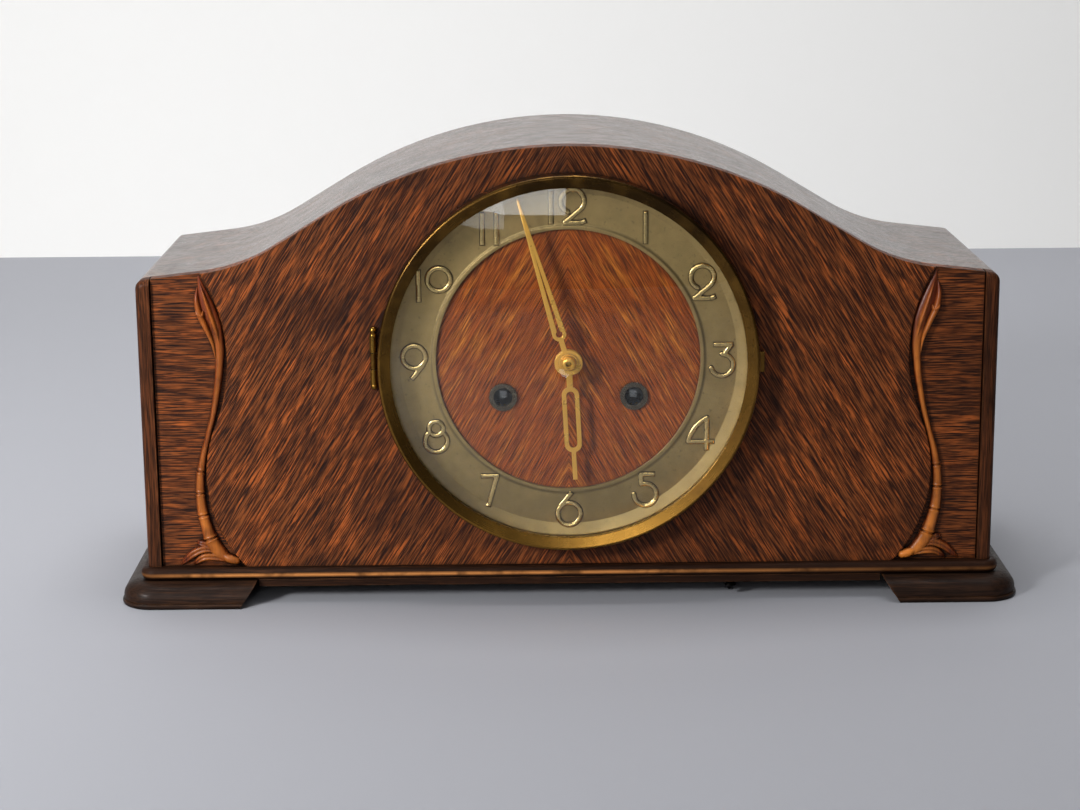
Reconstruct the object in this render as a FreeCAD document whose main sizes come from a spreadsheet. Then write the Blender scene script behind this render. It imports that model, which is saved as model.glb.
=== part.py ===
import FreeCAD, Part
import math
import os
import Sketcher

# Mantel clock with a bow-shaped top, a hinged round bezel and a two-train pendulum movement.
# Axes: x to the right, y to the back, z up; the feet stand on z = 0.
doc = FreeCAD.newDocument("MantelClock")
sheet = doc.addObject("Spreadsheet::Sheet", "Sizes")

# Driving lengths in millimetres, case first.
LENGTHS = {
    "case_width": 455.0, "case_depth": 154.0, "crown_height": 225.4, "crown_radius": 245.0,
    "crown_end_x": 126.2, "crown_end_z": 190.4, "cove_radius": 95.0, "cove_start_x": 155.0,
    "cove_start_z": 173.1, "cove_end_x": 193.1, "cove_end_z": 160.1, "shoulder_end_z": 156.2,
    "panel_thick": 3.0, "board_thick": 8.0, "side_thick": 8.0, "top_thick": 6.0,
    "stile_width": 7.5, "stile_groove": 0.6, "stile_setback": 0.5, "stile_round": 3.5,
    "stile_corner": 5.0, "panel_waist_x": 187.2, "panel_waist_z": 80.0, "panel_foot_x": 174.5,
    "panel_upper_radius": 90.0, "panel_lower_radius": 73.0, "panel_edge_round": 1.0,
    "foot_height": 13.0, "base_thick": 6.5, "base_overhang": 4.0, "base_round": 3.0,
    "base_corner": 8.0,
    "rail_thick": 4.0, "rail_setback": 2.0, "foot_reach": 14.5, "foot_bead": 2.6,
    "foot_inner_low": 177.0, "foot_inner_top": 168.0,
    "stem_line_x": 191.9, "stem_swing": 6.6, "stem_height": 158.6, "bud_half": 4.8,
    "relief_height": 4.4, "band_half": 0.9, "band_rise": 0.7,
    "back_thick": 8.0, "door_width": 250.0, "door_height": 148.0, "door_sill": 11.0,
    "door_gap": 0.8, "door_thick": 6.0, "door_pin_radius": 1.4, "door_knuckle_radius": 2.8,
    "door_leaf_length": 24.0, "door_leaf_width": 11.0, "door_leaf_thick": 0.9,
    "door_hinge_drop": 42.0, "knob_radius": 7.0, "knob_neck": 3.2, "knob_reach": 8.0,
    "dial_height": 111.6, "seat_radius": 96.6, "seat_depth": 3.0, "well_radius": 66.0,
    "dial_thick": 2.2, "dial_radius": 96.2, "dial_edge_gap": 0.3,
    "ring_inner": 70.0, "ring_outer": 96.0, "ring_thick": 1.3, "ring_lip": 1.6, "ring_flare": 3.4,
    "key_spread": 34.75, "key_drop": 19.8, "grommet_outer": 7.4, "grommet_tube": 5.7,
    "grommet_bore": 5.0, "grommet_flange": 1.5, "hand_hole": 6.0,
    "bezel_outer": 100.3, "bezel_wall": 96.6, "bezel_lip": 93.6, "bezel_depth": 14.3,
    "bezel_slope": 2.0, "bezel_lip_thick": 1.0, "bezel_stand": 0.3, "bezel_round": 1.6, "glass_rim": 96.2,
    "glass_thick": 2.0, "glass_edge": 8.6, "glass_reach": 19.5, "glass_side_gap": 0.4,
    "hinge_x": 102.6, "hinge_y": 2.6, "hinge_length": 27.0, "hinge_lift": 1.6,
    "hinge_knuckle": 1.8, "hinge_pin": 0.8, "hinge_leaf_width": 2.1, "hinge_leaf_thick": 1.2,
    "hinge_ball": 2.0, "hinge_ball_step": 3.2,
    "tab_width": 5.0, "tab_height": 10.8, "tab_drop": 0.8, "tab_thick": 2.4,
    "pin_clearance": 0.1, "pivot_clearance": 0.08, "pipe_clearance": 0.12, "shake": 0.4,
    "movement_setback": 27.0, "plate_thick": 1.5, "plate_gap": 30.0, "plate_half": 63.0,
    "plate_top": 60.0, "plate_bottom": 56.0, "plate_corner": 5.0,
    "pillar_x": 57.0, "pillar_top": 54.0, "pillar_bottom": 50.0, "pillar_radius": 3.5,
    "pillar_pivot": 2.0, "pillar_nut": 4.0, "pillar_nut_height": 3.0,
    "post_x": 47.0, "post_top": 53.0, "post_bottom": 52.0, "post_radius": 4.0,
    "great_module": 0.8, "second_module": 0.65, "centre_module": 0.5, "third_module": 0.42,
    "cannon_module": 0.6, "hour_module": 0.64, "pin_module": 0.5, "stop_module": 0.45,
    "fly_module": 0.4, "arbor_radius": 1.4, "pivot_radius": 0.7, "pivot_over": 0.2,
    "drum_radius": 19.5, "drum_wall": 1.2, "barrel_bore": 3.1, "barrel_arbor": 3.0,
    "barrel_back_pivot": 2.0, "square_side": 4.2, "square_tip_depth": 10.0,
    "ratchet_radius": 10.0, "ratchet_root": 8.7, "ratchet_thick": 2.0, "click_distance": 15.0,
    "click_gap": 0.25, "click_boss": 2.6, "click_stud": 1.2, "click_thick": 1.6,
    "wheel_thick": 1.3, "pinion_over": 0.9, "rim_width": 2.2, "hub_radius": 3.4,
    "spoke_width": 2.0, "escape_drop": 37.0, "escape_radius": 11.0, "escape_root": 9.3,
    "anchor_drop": 50.0, "pallet_gap": 0.65, "pallet_width": 1.4, "anchor_hub": 2.4,
    "great_level": 4.5, "drum_level": 6.5, "drum_end": 24.0, "second_level": 1.5,
    "strike_second_level": 26.4, "centre_level": 10.0, "third_level": 16.0,
    "escape_level": 21.0, "pin_level": 12.0, "stop_level": 17.6, "warning_level": 22.4,
    "strike_pin_radius": 0.6, "strike_pin_circle": 10.5, "strike_pin_length": 3.0,
    "fly_half": 7.2, "fly_length": 8.0, "fly_level": 3.0, "fly_thick": 0.6,
    "cannon_pipe": 2.6, "cannon_level": 4.0, "hour_pipe": 4.0, "hour_level": 8.0,
    "motion_thick": 1.4, "minute_stud": 1.2, "centre_tip": 1.5, "centre_tip_end": 11.6,
    "minute_hand_lift": 7.0, "hour_hand_lift": 3.4, "hand_thick": 0.9, "boss_radius": 7.4,
    "minute_length": 91.0, "minute_half": 3.1, "minute_neck": 1.5, "minute_tip": 0.5,
    "minute_hole_at": 16.8, "minute_hole": 1.5, "minute_slot_end": 62.0, "minute_slot_half": 1.3,
    "hour_length": 63.5, "hour_half": 4.6, "hour_slot_half": 2.2, "hour_neck": 1.6,
    "hour_loop_start": 13.0, "hour_loop_end": 48.5, "hour_tip_half": 1.2, "hour_rim": 2.4,
    "nut_radius": 3.9, "nut_height": 5.0, "nut_round": 1.8, "nut_washer": 5.2, "nut_washer_thick": 0.8,
    "pendulum_length": 121.5, "pendulum_setback": 10.5, "rod_radius": 1.2, "rod_tail": 3.5,
    "bob_half": 6.0, "bob_flat": 4.0, "bob_edge_half": 1.6, "bob_floor_gap": 4.1, "rod_top_drop": 8.0,
    "rating_radius": 5.0, "rating_height": 3.2, "rating_gap": 0.3,
    "spring_width": 5.0, "spring_thick": 0.3, "spring_rise": 6.0, "spring_slot": 0.9,
    "clamp_half": 3.0, "clamp_drop": 5.0, "cock_width": 14.0, "cock_height": 14.0, "cock_depth": 15.0,
    "cock_foot": 2.0, "cock_lift": 3.5, "crutch_length": 34.0, "crutch_half": 1.6,
    "crutch_lift": 2.4, "crutch_thick": 1.2, "crutch_gap": 0.15, "crutch_prong": 1.4,
    "gong_end_gap": 24.5, "gong_width": 24.0, "gong_depth": 46.0, "gong_height": 34.0,
    "gong_setback": 104.0, "gong_rod_radius": 1.6, "gong_rod_length": 230.0, "gong_rod_pitch": 11.0,
    "gong_rod_lift": 26.0, "gong_collar": 3.0, "gong_collar_length": 9.0, "gong_chamfer": 4.0,
    "hammer_x": 57.5, "hammer_drop": 38.0, "hammer_reach": 52.0, "hammer_head": 4.6,
    "hammer_head_length": 9.0, "hammer_wire": 1.0, "hammer_gap": 1.6, "hammer_tail_width": 1.6,
    "hammer_tail_gap": 0.7, "hammer_tail_thick": 1.6, "hammer_tail_level": 13.9,
    "lock_x": 87.0, "lock_setback": 3.0, "lock_radius": 3.1, "lock_stem": 1.5, "lock_drop": 5.0,
    "lock_gap": 0.3,
    "spring_strip": 0.5, "spring_height": 14.0, "spring_inner": 5.0, "spring_pitch": 1.6,
}
SHARES = {
    "steep_sine_share": 0.515, "steep_cosine_share": 0.8572, "gentle_sine_share": 0.1132,
    "gentle_cosine_share": 0.9936,
}


class Size:
    """A length with the sheet formula that gives it."""

    def __init__(self, value, text):
        self.value = float(value)
        self.text = text

    def __add__(self, other):
        return Size(self.value + number(other), "(%s + %s)" % (self.text, words(other)))

    def __radd__(self, other):
        return Size(number(other) + self.value, "(%s + %s)" % (words(other), self.text))

    def __sub__(self, other):
        return Size(self.value - number(other), "(%s - %s)" % (self.text, words(other)))

    def __rsub__(self, other):
        return Size(number(other) - self.value, "(%s - %s)" % (words(other), self.text))

    def __mul__(self, other):
        return Size(self.value * number(other), "(%s * %s)" % (self.text, words(other)))

    def __rmul__(self, other):
        return Size(number(other) * self.value, "(%s * %s)" % (words(other), self.text))

    def __truediv__(self, other):
        return Size(self.value / number(other), "(%s / %s)" % (self.text, words(other)))

    def __neg__(self):
        return Size(-self.value, "(0 - %s)" % self.text)


def number(item):
    """Plain value of a Size or a number."""
    return item.value if isinstance(item, Size) else float(item)


def words(item):
    """Formula of a Size or a number."""
    return item.text if isinstance(item, Size) else repr(item)


class Names:
    """Every named length and share as an attribute."""


s = Names()
row = 0
for table in (LENGTHS, SHARES):
    for name, value in table.items():
        row += 1
        sheet.set("A%d" % row, name)
        sheet.set("B%d" % row, str(value))
        sheet.setAlias("B%d" % row, name)
        setattr(s, name, Size(value, "Sizes." + name))
doc.recompute()

# Shared planes and heights.
half = s.case_width / 2
base = s.foot_height + s.base_thick
front = (s.glass_reach - s.case_depth - s.knob_reach) / 2
field = front + s.panel_thick
board_back = field + s.board_thick
back = front + s.case_depth
dial_z = base + s.dial_height
field_half = half - s.stile_width - s.stile_groove
plate_front = front + s.movement_setback
plate_inner = plate_front + s.plate_thick
back_plate_front = plate_inner + s.plate_gap
movement_back = back_plate_front + s.plate_thick
shoulder_slope = (s.cove_end_z - s.shoulder_end_z) / (half - s.cove_end_x)
nodes = []


def keep(item, label):
    """Names a finished piece and adds it to the list that is exported."""
    item.Label = label
    nodes.append(item)
    return item


def pin(rules, formulas, geo, place, x, y):
    """Holds one sketch point at x, y; a plain zero puts it on the axis."""
    for value, axis, kind in ((x, -2, "DistanceX"), (y, -1, "DistanceY")):
        if isinstance(value, Size):
            formulas.append((len(rules), value.text))
            rules.append(Sketcher.Constraint(kind, geo, place, value.value))
        else:
            rules.append(Sketcher.Constraint("PointOnObject", geo, place, axis))


def curve(start, end, radius, turn):
    """Arc between two points; turn is 1 to the left of the way and -1 to the right."""
    dx = end[0] - start[0]
    dy = end[1] - start[1]
    chord = math.hypot(dx, dy)
    rise = math.sqrt(max(radius * radius - chord * chord / 4, 0))
    cx = (start[0] + end[0]) / 2 - turn * rise * dy / chord
    cy = (start[1] + end[1]) / 2 + turn * rise * dx / chord
    first = start if turn > 0 else end
    last = end if turn > 0 else start
    a = math.atan2(first[1] - cy, first[0] - cx)
    b = math.atan2(last[1] - cy, last[0] - cx)
    if b < a:
        b += 2 * math.pi
    ring = Part.Circle(FreeCAD.Vector(cx, cy, 0), FreeCAD.Vector(0, 0, 1), radius)
    return Part.ArcOfCircle(ring, a, b)


def draw(body, name, role, lift, loops, circles=()):
    """Sketch on a plane of the body, lifted along the plane's normal."""
    sketch = body.newObject("Sketcher::SketchObject", name)
    plane = [f for f in body.Origin.OriginFeatures if f.Role == role][0]
    sketch.AttachmentSupport = (plane, [""])
    sketch.MapMode = "FlatFace"
    if isinstance(lift, Size):
        sketch.setExpression("AttachmentOffset.Base.z", lift.text)
    rules = []
    formulas = []
    shapes = []
    for loop in loops:
        count = len(loop)
        start = len(shapes)
        ends = []
        for i in range(count):
            here = loop[i]
            there = loop[(i + 1) % count]
            p = (number(here[0]), number(here[1]))
            q = (number(there[0]), number(there[1]))
            if len(here) == 4:
                shapes.append(curve(p, q, number(here[2]), here[3]))
                ends.append((1, 2) if here[3] > 0 else (2, 1))
            else:
                a = FreeCAD.Vector(p[0], p[1], 0)
                b = FreeCAD.Vector(q[0], q[1], 0)
                shapes.append(Part.LineSegment(a, b))
                ends.append((1, 2))
        for i in range(count):
            after = (i + 1) % count
            rules.append(Sketcher.Constraint("Coincident", start + i, ends[i][1], start + after,
                                             ends[after][0]))
        for i in range(count):
            pin(rules, formulas, start + i, ends[i][0], loop[i][0], loop[i][1])
            if len(loop[i]) == 4:
                formulas.append((len(rules), words(loop[i][2])))
                rules.append(Sketcher.Constraint("Radius", start + i, number(loop[i][2])))
    for x, y, radius in circles:
        middle = FreeCAD.Vector(number(x), number(y), 0)
        shapes.append(Part.Circle(middle, FreeCAD.Vector(0, 0, 1), number(radius)))
        pin(rules, formulas, len(shapes) - 1, 3, x, y)
        formulas.append((len(rules), words(radius)))
        rules.append(Sketcher.Constraint("Radius", len(shapes) - 1, number(radius)))
    sketch.addGeometry(shapes, False)
    sketch.addConstraint(rules)
    for index, text in formulas:
        sketch.setExpression("Constraints[%d]" % index, text)
    return sketch


def plate(label, near, thick, loops, circles=(), listed=True):
    """Upright sheet from depth near to near + thick, outlined in x and z."""
    body = doc.addObject("PartDesign::Body", label)
    sketch = draw(body, label + "_outline", "XZ_Plane", -near, loops, circles)
    pad = body.newObject("PartDesign::Pad", label + "_pad")
    pad.Profile = sketch
    pad.setExpression("Length", thick.text)
    pad.Reversed = True
    doc.recompute()
    return keep(body, label) if listed else body


def slab(label, low, thick, loops, circles=()):
    """Level board from height low to low + thick, outlined in x and y."""
    body = doc.addObject("PartDesign::Body", label)
    sketch = draw(body, label + "_outline", "XY_Plane", low, loops, circles)
    pad = body.newObject("PartDesign::Pad", label + "_pad")
    pad.Profile = sketch
    pad.setExpression("Length", thick.text)
    doc.recompute()
    return keep(body, label)


def pocket(body, name, role, lift, depth, loops, circles, reverse):
    """Cut into a body; the volume has to fall."""
    before = body.Shape.Volume
    sketch = draw(body, name + "_outline", role, lift, loops, circles)
    cut = body.newObject("PartDesign::Pocket", name)
    cut.Profile = sketch
    cut.setExpression("Length", depth.text)
    cut.Reversed = reverse
    doc.recompute()
    if body.Shape.Volume >= before:
        raise RuntimeError(name + " removes nothing")


def add_pad(body, name, role, lift, length, loops, circles, reverse):
    """Further material on a body."""
    sketch = draw(body, name + "_outline", role, lift, loops, circles)
    pad = body.newObject("PartDesign::Pad", name)
    pad.Profile = sketch
    pad.setExpression("Length", length.text)
    pad.Reversed = reverse
    doc.recompute()


def soften(body, name, radius, test):
    """Rounds the edges for which test(middle, edge) holds."""
    tip = body.Tip
    chosen = []
    for i, edge in enumerate(tip.Shape.Edges):
        if test(edge.CenterOfMass, edge):
            chosen.append("Edge%d" % (i + 1))
    fillet = body.newObject("PartDesign::Fillet", name)
    fillet.Base = (tip, chosen)
    fillet.setExpression("Radius", radius.text)
    doc.recompute()


def turned(label, x, z, profile, upright=False, y=0, listed=True):
    """Piece turned about a line along y through x, z, or about an upright line through x, y."""
    body = doc.addObject("PartDesign::Body", label)
    role = "XZ_Plane" if upright else "XY_Plane"
    sketch = draw(body, label + "_profile", role, 0, [profile])
    lathe = body.newObject("PartDesign::Revolution", label + "_turned")
    lathe.Profile = sketch
    lathe.ReferenceAxis = (sketch, ["V_Axis"])
    lathe.Angle = 360
    for letter, value in (("x", x), ("y", y), ("z", z)):
        if isinstance(value, Size):
            body.setExpression("Placement.Base." + letter, value.text)
    doc.recompute()
    if listed:
        keep(body, label)
    return body


def group(label, items):
    """Several separate solids that make one node."""
    bundle = doc.addObject("Part::Compound", label)
    bundle.Links = items
    doc.recompute()
    return keep(bundle, label)


def made(label, shape, x=0, z=0):
    """Piece whose shape is worked out here, set at x, z."""
    item = doc.addObject("Part::Feature", label)
    item.Shape = shape
    shift = FreeCAD.Placement(FreeCAD.Vector(number(x), 0, number(z)), FreeCAD.Rotation())
    item.Placement = shift.multiply(shape.Placement)
    return keep(item, label)


def box_loop(x0, x1, y0, y1):
    """Rectangle as a loop of corners."""
    return [(x0, y0), (x1, y0), (x1, y1), (x0, y1)]


# The case.
def roof_height(x, inset):
    """Height of the shoulder line at x, lowered by an inset square to it."""
    return base + s.cove_end_z - shoulder_slope * (x - s.cove_end_x) - inset / s.gentle_cosine_share


def roof(inset, reach):
    """Top outline from left to right, inset square to itself, ending at reach on each side."""
    x1 = s.crown_end_x - inset * s.steep_sine_share
    z1 = base + s.crown_end_z - inset * s.steep_cosine_share
    x2 = s.cove_start_x - inset * s.steep_sine_share
    z2 = base + s.cove_start_z - inset * s.steep_cosine_share
    x3 = s.cove_end_x - inset * s.gentle_sine_share
    z3 = base + s.cove_end_z - inset * s.gentle_cosine_share
    cove = s.cove_radius + inset
    crown = s.crown_radius - inset
    line = [(-x3, z3, cove, 1), (-x2, z2), (-x1, z1, crown, -1), (x1, z1), (x2, z2, cove, 1), (x3, z3)]
    if reach is None:
        return line
    end = roof_height(reach, inset)
    return [(-reach, end)] + line + [(reach, end)]


def backwards(line):
    """The same way walked from its other end."""
    result = []
    for i in range(len(line) - 1, -1, -1):
        place = line[i][:2]
        if i > 0 and len(line[i - 1]) == 4:
            place = place + (line[i - 1][2], -line[i - 1][3])
        result.append(place)
    return result


no_inset = s.top_thick * 0
outline = roof(no_inset, field_half) + [(field_half, base), (-field_half, base)]
board = plate("front_board", field, s.board_thick, [outline], [(0, dial_z, s.well_radius)])
pocket(board, "dial_seat", "XZ_Plane", -field, s.seat_depth, [], [(0, dial_z, s.seat_radius)], False)

waist_z = base + s.panel_waist_z
panel_line = [(-s.panel_foot_x, base, s.panel_lower_radius, -1),
              (-s.panel_waist_x, waist_z, s.panel_upper_radius, 1)]
panel_line += roof(no_inset, None)[:-1]
panel_line += [(s.cove_end_x, base + s.cove_end_z, s.panel_upper_radius, 1),
               (s.panel_waist_x, waist_z, s.panel_lower_radius, -1), (s.panel_foot_x, base)]
panel = plate("centre_panel", front, s.panel_thick, [panel_line], [(0, dial_z, s.seat_radius)])


def on_side_edge(middle, edge):
    """True for the front edges of the S-shaped panel sides."""
    low = middle.z < number(base + s.cove_end_z)
    outside = abs(middle.x) > number(s.panel_foot_x)
    flat = abs(middle.y - number(front)) < number(s.shake)
    return low and outside and flat and edge.BoundBox.YLength < number(s.shake)


soften(panel, "panel_rounding", s.panel_edge_round, on_side_edge)

depth_behind = back - board_back
# The upper corners turn in an arc that runs smoothly into the shoulder and the side.
turn_low = roof_height(half - s.stile_corner, s.stile_corner)
turn_high = turn_low + s.stile_corner * s.gentle_cosine_share
turn_x = half - s.stile_corner + s.stile_corner * s.gentle_sine_share
top_line = [(-half, turn_low, s.stile_corner, -1), (-turn_x, turn_high)]
top_line += roof(no_inset, None)
top_line += [(turn_x, turn_high, s.stile_corner, -1), (half, turn_low)]
inner_line = backwards(roof(s.top_thick, half))
plate("top_panel", board_back, depth_behind, [top_line + inner_line])
sides = []
stiles = []
for side, word in ((-1, "left"), (1, "right")):
    inner_x = half - s.side_thick
    loop = [(inner_x * side, base), (half * side, base), (half * side, roof_height(half, s.top_thick)),
            (inner_x * side, roof_height(inner_x, s.top_thick))]
    sides.append(plate(word + "_side", board_back, depth_behind, [loop], listed=False))
    stile_x = half - s.stile_width
    loop = [(stile_x * side, base), (half * side, base),
            (half * side, turn_low, s.stile_corner, side), (turn_x * side, turn_high),
            (stile_x * side, roof_height(stile_x, no_inset))]
    stile_front = front + s.stile_setback
    stile = plate(word + "_stile", stile_front, board_back - stile_front, [loop], listed=False)
    stiles.append(stile)
    limit = number(turn_x)
    soften(stile, word + "_stile_rounding", s.stile_round,
           lambda m, e: abs(m.x) > limit and abs(m.y - number(stile_front)) < number(s.shake)
           and e.BoundBox.ZLength > number(s.shake))
group("case_sides", sides)
group("front_stiles", stiles)

base_half = half + s.base_overhang
base_front = front - s.base_overhang
lock_y = front + s.lock_setback
lock_hole = s.lock_stem + s.pin_clearance
base_loop = [(-base_half, back), (-base_half, base_front + s.base_corner, s.base_corner, 1),
             (-base_half + s.base_corner, base_front),
             (base_half - s.base_corner, base_front, s.base_corner, 1),
             (base_half, base_front + s.base_corner), (base_half, back)]
base_board = slab("base_board", s.foot_height, s.base_thick, [base_loop], [(s.lock_x, lock_y, lock_hole)])


def base_edge(middle, edge):
    """Level edges of the base along its front and ends."""
    end = abs(middle.x) > number(base_half) - number(s.shake)
    fore = middle.y < number(base_front) + number(s.shake)
    return (end or fore) and edge.BoundBox.ZLength < number(s.shake)


soften(base_board, "base_rounding", s.base_round, base_edge)
rail_half = s.foot_inner_top - s.stile_groove
rail_loop = box_loop(-rail_half, rail_half, base_front + s.rail_setback, back - s.rail_setback)
slab("bottom_rail", s.foot_height - s.rail_thick, s.rail_thick, [rail_loop],
     [(s.lock_x, lock_y, lock_hole)])

# Feet: moulded blocks, each a low bead under a swelling quarter-round, lofted through level sections.
BEAD_HEIGHT_SHARES = (0.0, 0.5, 1.0)
BEAD_REACH_SHARES = (0.96, 1.0, 0.985)
SWELL_HEIGHT_SHARES = (0.0, 0.2, 0.42, 0.62, 0.8, 0.93, 1.0)
SWELL_REACH_SHARES = (0.93, 0.94, 0.91, 0.83, 0.69, 0.49, 0.3)
FOOT_LAYERS = (("bead", BEAD_HEIGHT_SHARES, BEAD_REACH_SHARES),
               ("swell", SWELL_HEIGHT_SHARES, SWELL_REACH_SHARES))
inner_slope = (s.foot_inner_low - s.foot_inner_top) / s.foot_height
for side, word in ((-1, "left"), (1, "right")):
    body = doc.addObject("PartDesign::Body", word + "_foot")
    for layer, tall_shares, reach_shares in FOOT_LAYERS:
        low = s.foot_bead if layer == "swell" else s.foot_bead * 0
        tall = s.foot_height - s.foot_bead if layer == "swell" else s.foot_bead
        sections = []
        for i, (tall_share, reach_share) in enumerate(zip(tall_shares, reach_shares)):
            reach = s.foot_reach * reach_share
            lift = low + tall * tall_share
            outer = half + reach
            nose = front - reach
            inner = s.foot_inner_low - inner_slope * lift
            corner = s.base_corner - s.base_overhang + reach
            loop = [(inner * side, back), (inner * side, nose),
                    ((outer - corner) * side, nose, corner, side),
                    (outer * side, nose + corner), (outer * side, back)]
            name = "%s_foot_%s_%d" % (word, layer, i)
            sections.append(draw(body, name, "XY_Plane", lift, [loop]))
        doc.recompute()
        loft = body.newObject("PartDesign::AdditiveLoft", word + "_foot_" + layer)
        loft.Profile = sections[0]
        loft.Sections = sections[1:]
        doc.recompute()
    keep(body, word + "_foot")

# Back of the case, its door and the door's hinges.
back_near = back - s.back_thick
back_reach = half - s.side_thick
sill = base + s.door_sill
open_half = s.door_width / 2 + s.door_gap
opening = box_loop(-open_half, open_half, sill - s.door_gap, sill + s.door_height + s.door_gap)
frame_loop = roof(s.top_thick, back_reach) + [(back_reach, base), (-back_reach, base)]
plate("back_frame", back_near, s.back_thick, [frame_loop, opening])
door_half = s.door_width / 2
door_loop = box_loop(-door_half, door_half, sill, sill + s.door_height)
plate("back_door", back - s.door_thick, s.door_thick, [door_loop])
knob_profile = [(0, back), (s.knob_neck, back), (s.knob_neck, back + s.knob_reach / 2),
                (s.knob_radius, back + s.knob_reach / 2, s.knob_reach / 2, 1),
                (s.knob_neck, back + s.knob_reach), (0, back + s.knob_reach)]
turned("door_knob", s.door_width / 2 - s.knob_radius * 2, sill + s.door_height / 2, knob_profile)

pin_x = -(open_half - s.door_gap / 2)
pin_y = back + s.door_knuckle_radius + s.door_leaf_thick / 4


def upright_rod(radius, x, y, low, length):
    """Standing cylinder."""
    return Part.makeCylinder(number(radius), number(length),
                             FreeCAD.Vector(number(x), number(y), number(low)))


def block(x0, x1, y0, y1, z0, z1):
    """Solid box between named planes."""
    corner = FreeCAD.Vector(number(x0), number(y0), number(z0))
    return Part.makeBox(number(x1) - number(x0), number(y1) - number(y0), number(z1) - number(z0), corner)


def fused(shapes):
    """One solid out of touching shapes."""
    result = shapes[0]
    if len(shapes) > 1:
        result = shapes[0].fuse(shapes[1:])
    result = result.removeSplitter()
    if len(result.Solids) == 1:
        result = result.Solids[0]
    return result


fixed_leaves = []
door_leaves = []
third = s.door_leaf_length / 3
for middle in (sill + s.door_hinge_drop, sill + s.door_height - s.door_hinge_drop):
    low = middle - s.door_leaf_length / 2
    high = middle + s.door_leaf_length / 2
    leaf_top = back + s.door_leaf_thick
    leaf = block(pin_x - s.door_leaf_width, pin_x, back, leaf_top, low, high)
    gap_low = low + third - s.shake / 2
    gap_high = high - third + s.shake / 2
    reach = s.door_knuckle_radius * 2
    leaf = leaf.cut(block(pin_x - s.door_knuckle_radius - s.shake, pin_x + reach, back - reach,
                          leaf_top + reach,
                          gap_low, gap_high))
    rods = [upright_rod(s.door_knuckle_radius, pin_x, pin_y, low, third - s.shake / 2),
            upright_rod(s.door_knuckle_radius, pin_x, pin_y, gap_high, third - s.shake / 2),
            upright_rod(s.door_pin_radius, pin_x, pin_y, low, s.door_leaf_length)]
    fixed_leaves.append(fused([leaf] + rods))
    leaf = block(pin_x, pin_x + s.door_leaf_width, back, leaf_top, low, high)
    for cut_low, cut_high in ((low - s.shake, low + third + s.shake / 2),
                              (high - third - s.shake / 2, high + s.shake)):
        leaf = leaf.cut(block(pin_x - reach, pin_x + s.door_knuckle_radius + s.shake, back - reach,
                              leaf_top + reach,
                              cut_low, cut_high))
    tube = upright_rod(s.door_knuckle_radius, pin_x, pin_y, low + third + s.shake / 2, third - s.shake)
    tube = fused([leaf, tube])
    bore = upright_rod(s.door_pin_radius + s.pin_clearance, pin_x, pin_y, low, s.door_leaf_length)
    door_leaves.append(fused([tube.cut(bore)]))
made("door_hinges", Part.makeCompound(fixed_leaves))
made("door_leaves", Part.makeCompound(door_leaves))

# Carved stems on the front: half-round reliefs lofted through stations.
STEM_X_SHARES = (0.47, -0.08, -0.71, -0.98, -0.97, -0.79, -0.38, 0.14, 0.61, 0.92, 1.0, 0.89, 0.55, 0.17,
                 -0.53, -1.3)
STEM_Z_SHARES = (0.998, 0.907, 0.834, 0.763, 0.706, 0.639, 0.543, 0.461, 0.391, 0.32, 0.259, 0.195,
                 0.131, 0.083,
                 0.045, 0.02)
STEM_HALF_SHARES = (0.12, 0.95, 0.7, 0.46, 0.44, 0.44, 0.46, 0.48, 0.5, 0.52, 0.54, 0.56, 0.6, 0.66, 0.7,
                    0.62)
STEM_RISE_SHARES = (0.3, 1.0, 0.85, 0.7, 0.68, 0.68, 0.68, 0.7, 0.72, 0.74, 0.76, 0.8, 0.84, 0.88, 0.9, 0.7)
BAND_SHARES = (0.334, 0.259, 0.18, 0.098)
LEAF_SHARES = (
    ((0.45, 0.1, 0.3, 0.6), (1.15, 0.07, 0.75, 0.85), (1.9, 0.04, 0.62, 0.75), (2.5, 0.014, 0.2, 0.3)),
    ((-0.2, 0.06, 0.3, 0.6), (0.45, 0.034, 0.7, 0.8), (1.2, 0.012, 0.3, 0.4)),
    ((0.2, 0.845, 0.3, 0.4), (0.62, 0.88, 0.55, 0.7), (0.95, 0.915, 0.4, 0.55), (0.98, 0.945, 0.15, 0.25)),
)
ARC_SHARES = (1.0, 0.92, 0.7, 0.38, 0.0, -0.38, -0.7, -0.92, -1.0)


def half_round(x, z, dx, dz, width, rise):
    """Closed half-oval standing on the board's face, square to the way dx, dz."""
    length = math.hypot(dx, dz)
    across = (dz / length, -dx / length)
    points = []
    for along_share in ARC_SHARES:
        up = rise * math.sqrt(max(1 - along_share * along_share, 0))
        points.append(FreeCAD.Vector(x + across[0] * width * along_share, number(field) - up,
                                     z + across[1] * width * along_share))
    spline = Part.BSplineCurve()
    spline.interpolate(points)
    return Part.Wire([spline.toShape(), Part.makeLine(points[-1], points[0])])


def relief(stations, side):
    """Solid lofted through stations of x, z, half width and rise."""
    wires = []
    count = len(stations)
    for i in range(count):
        a = stations[max(i - 1, 0)]
        b = stations[min(i + 1, count - 1)]
        x, z, width, rise = stations[i]
        wires.append(half_round(side * x, z, side * (b[0] - a[0]), b[1] - a[1], width, rise))
    return Part.makeLoft(wires, True, False)


def station(x_share, z_share, half_share, rise_share):
    """Station in millimetres from shares of the stem's own sizes."""
    x = s.stem_line_x + s.stem_swing * x_share
    z = base + s.stem_height * z_share
    return (number(x), number(z), number(s.bud_half) * half_share, number(s.relief_height) * rise_share)


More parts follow.
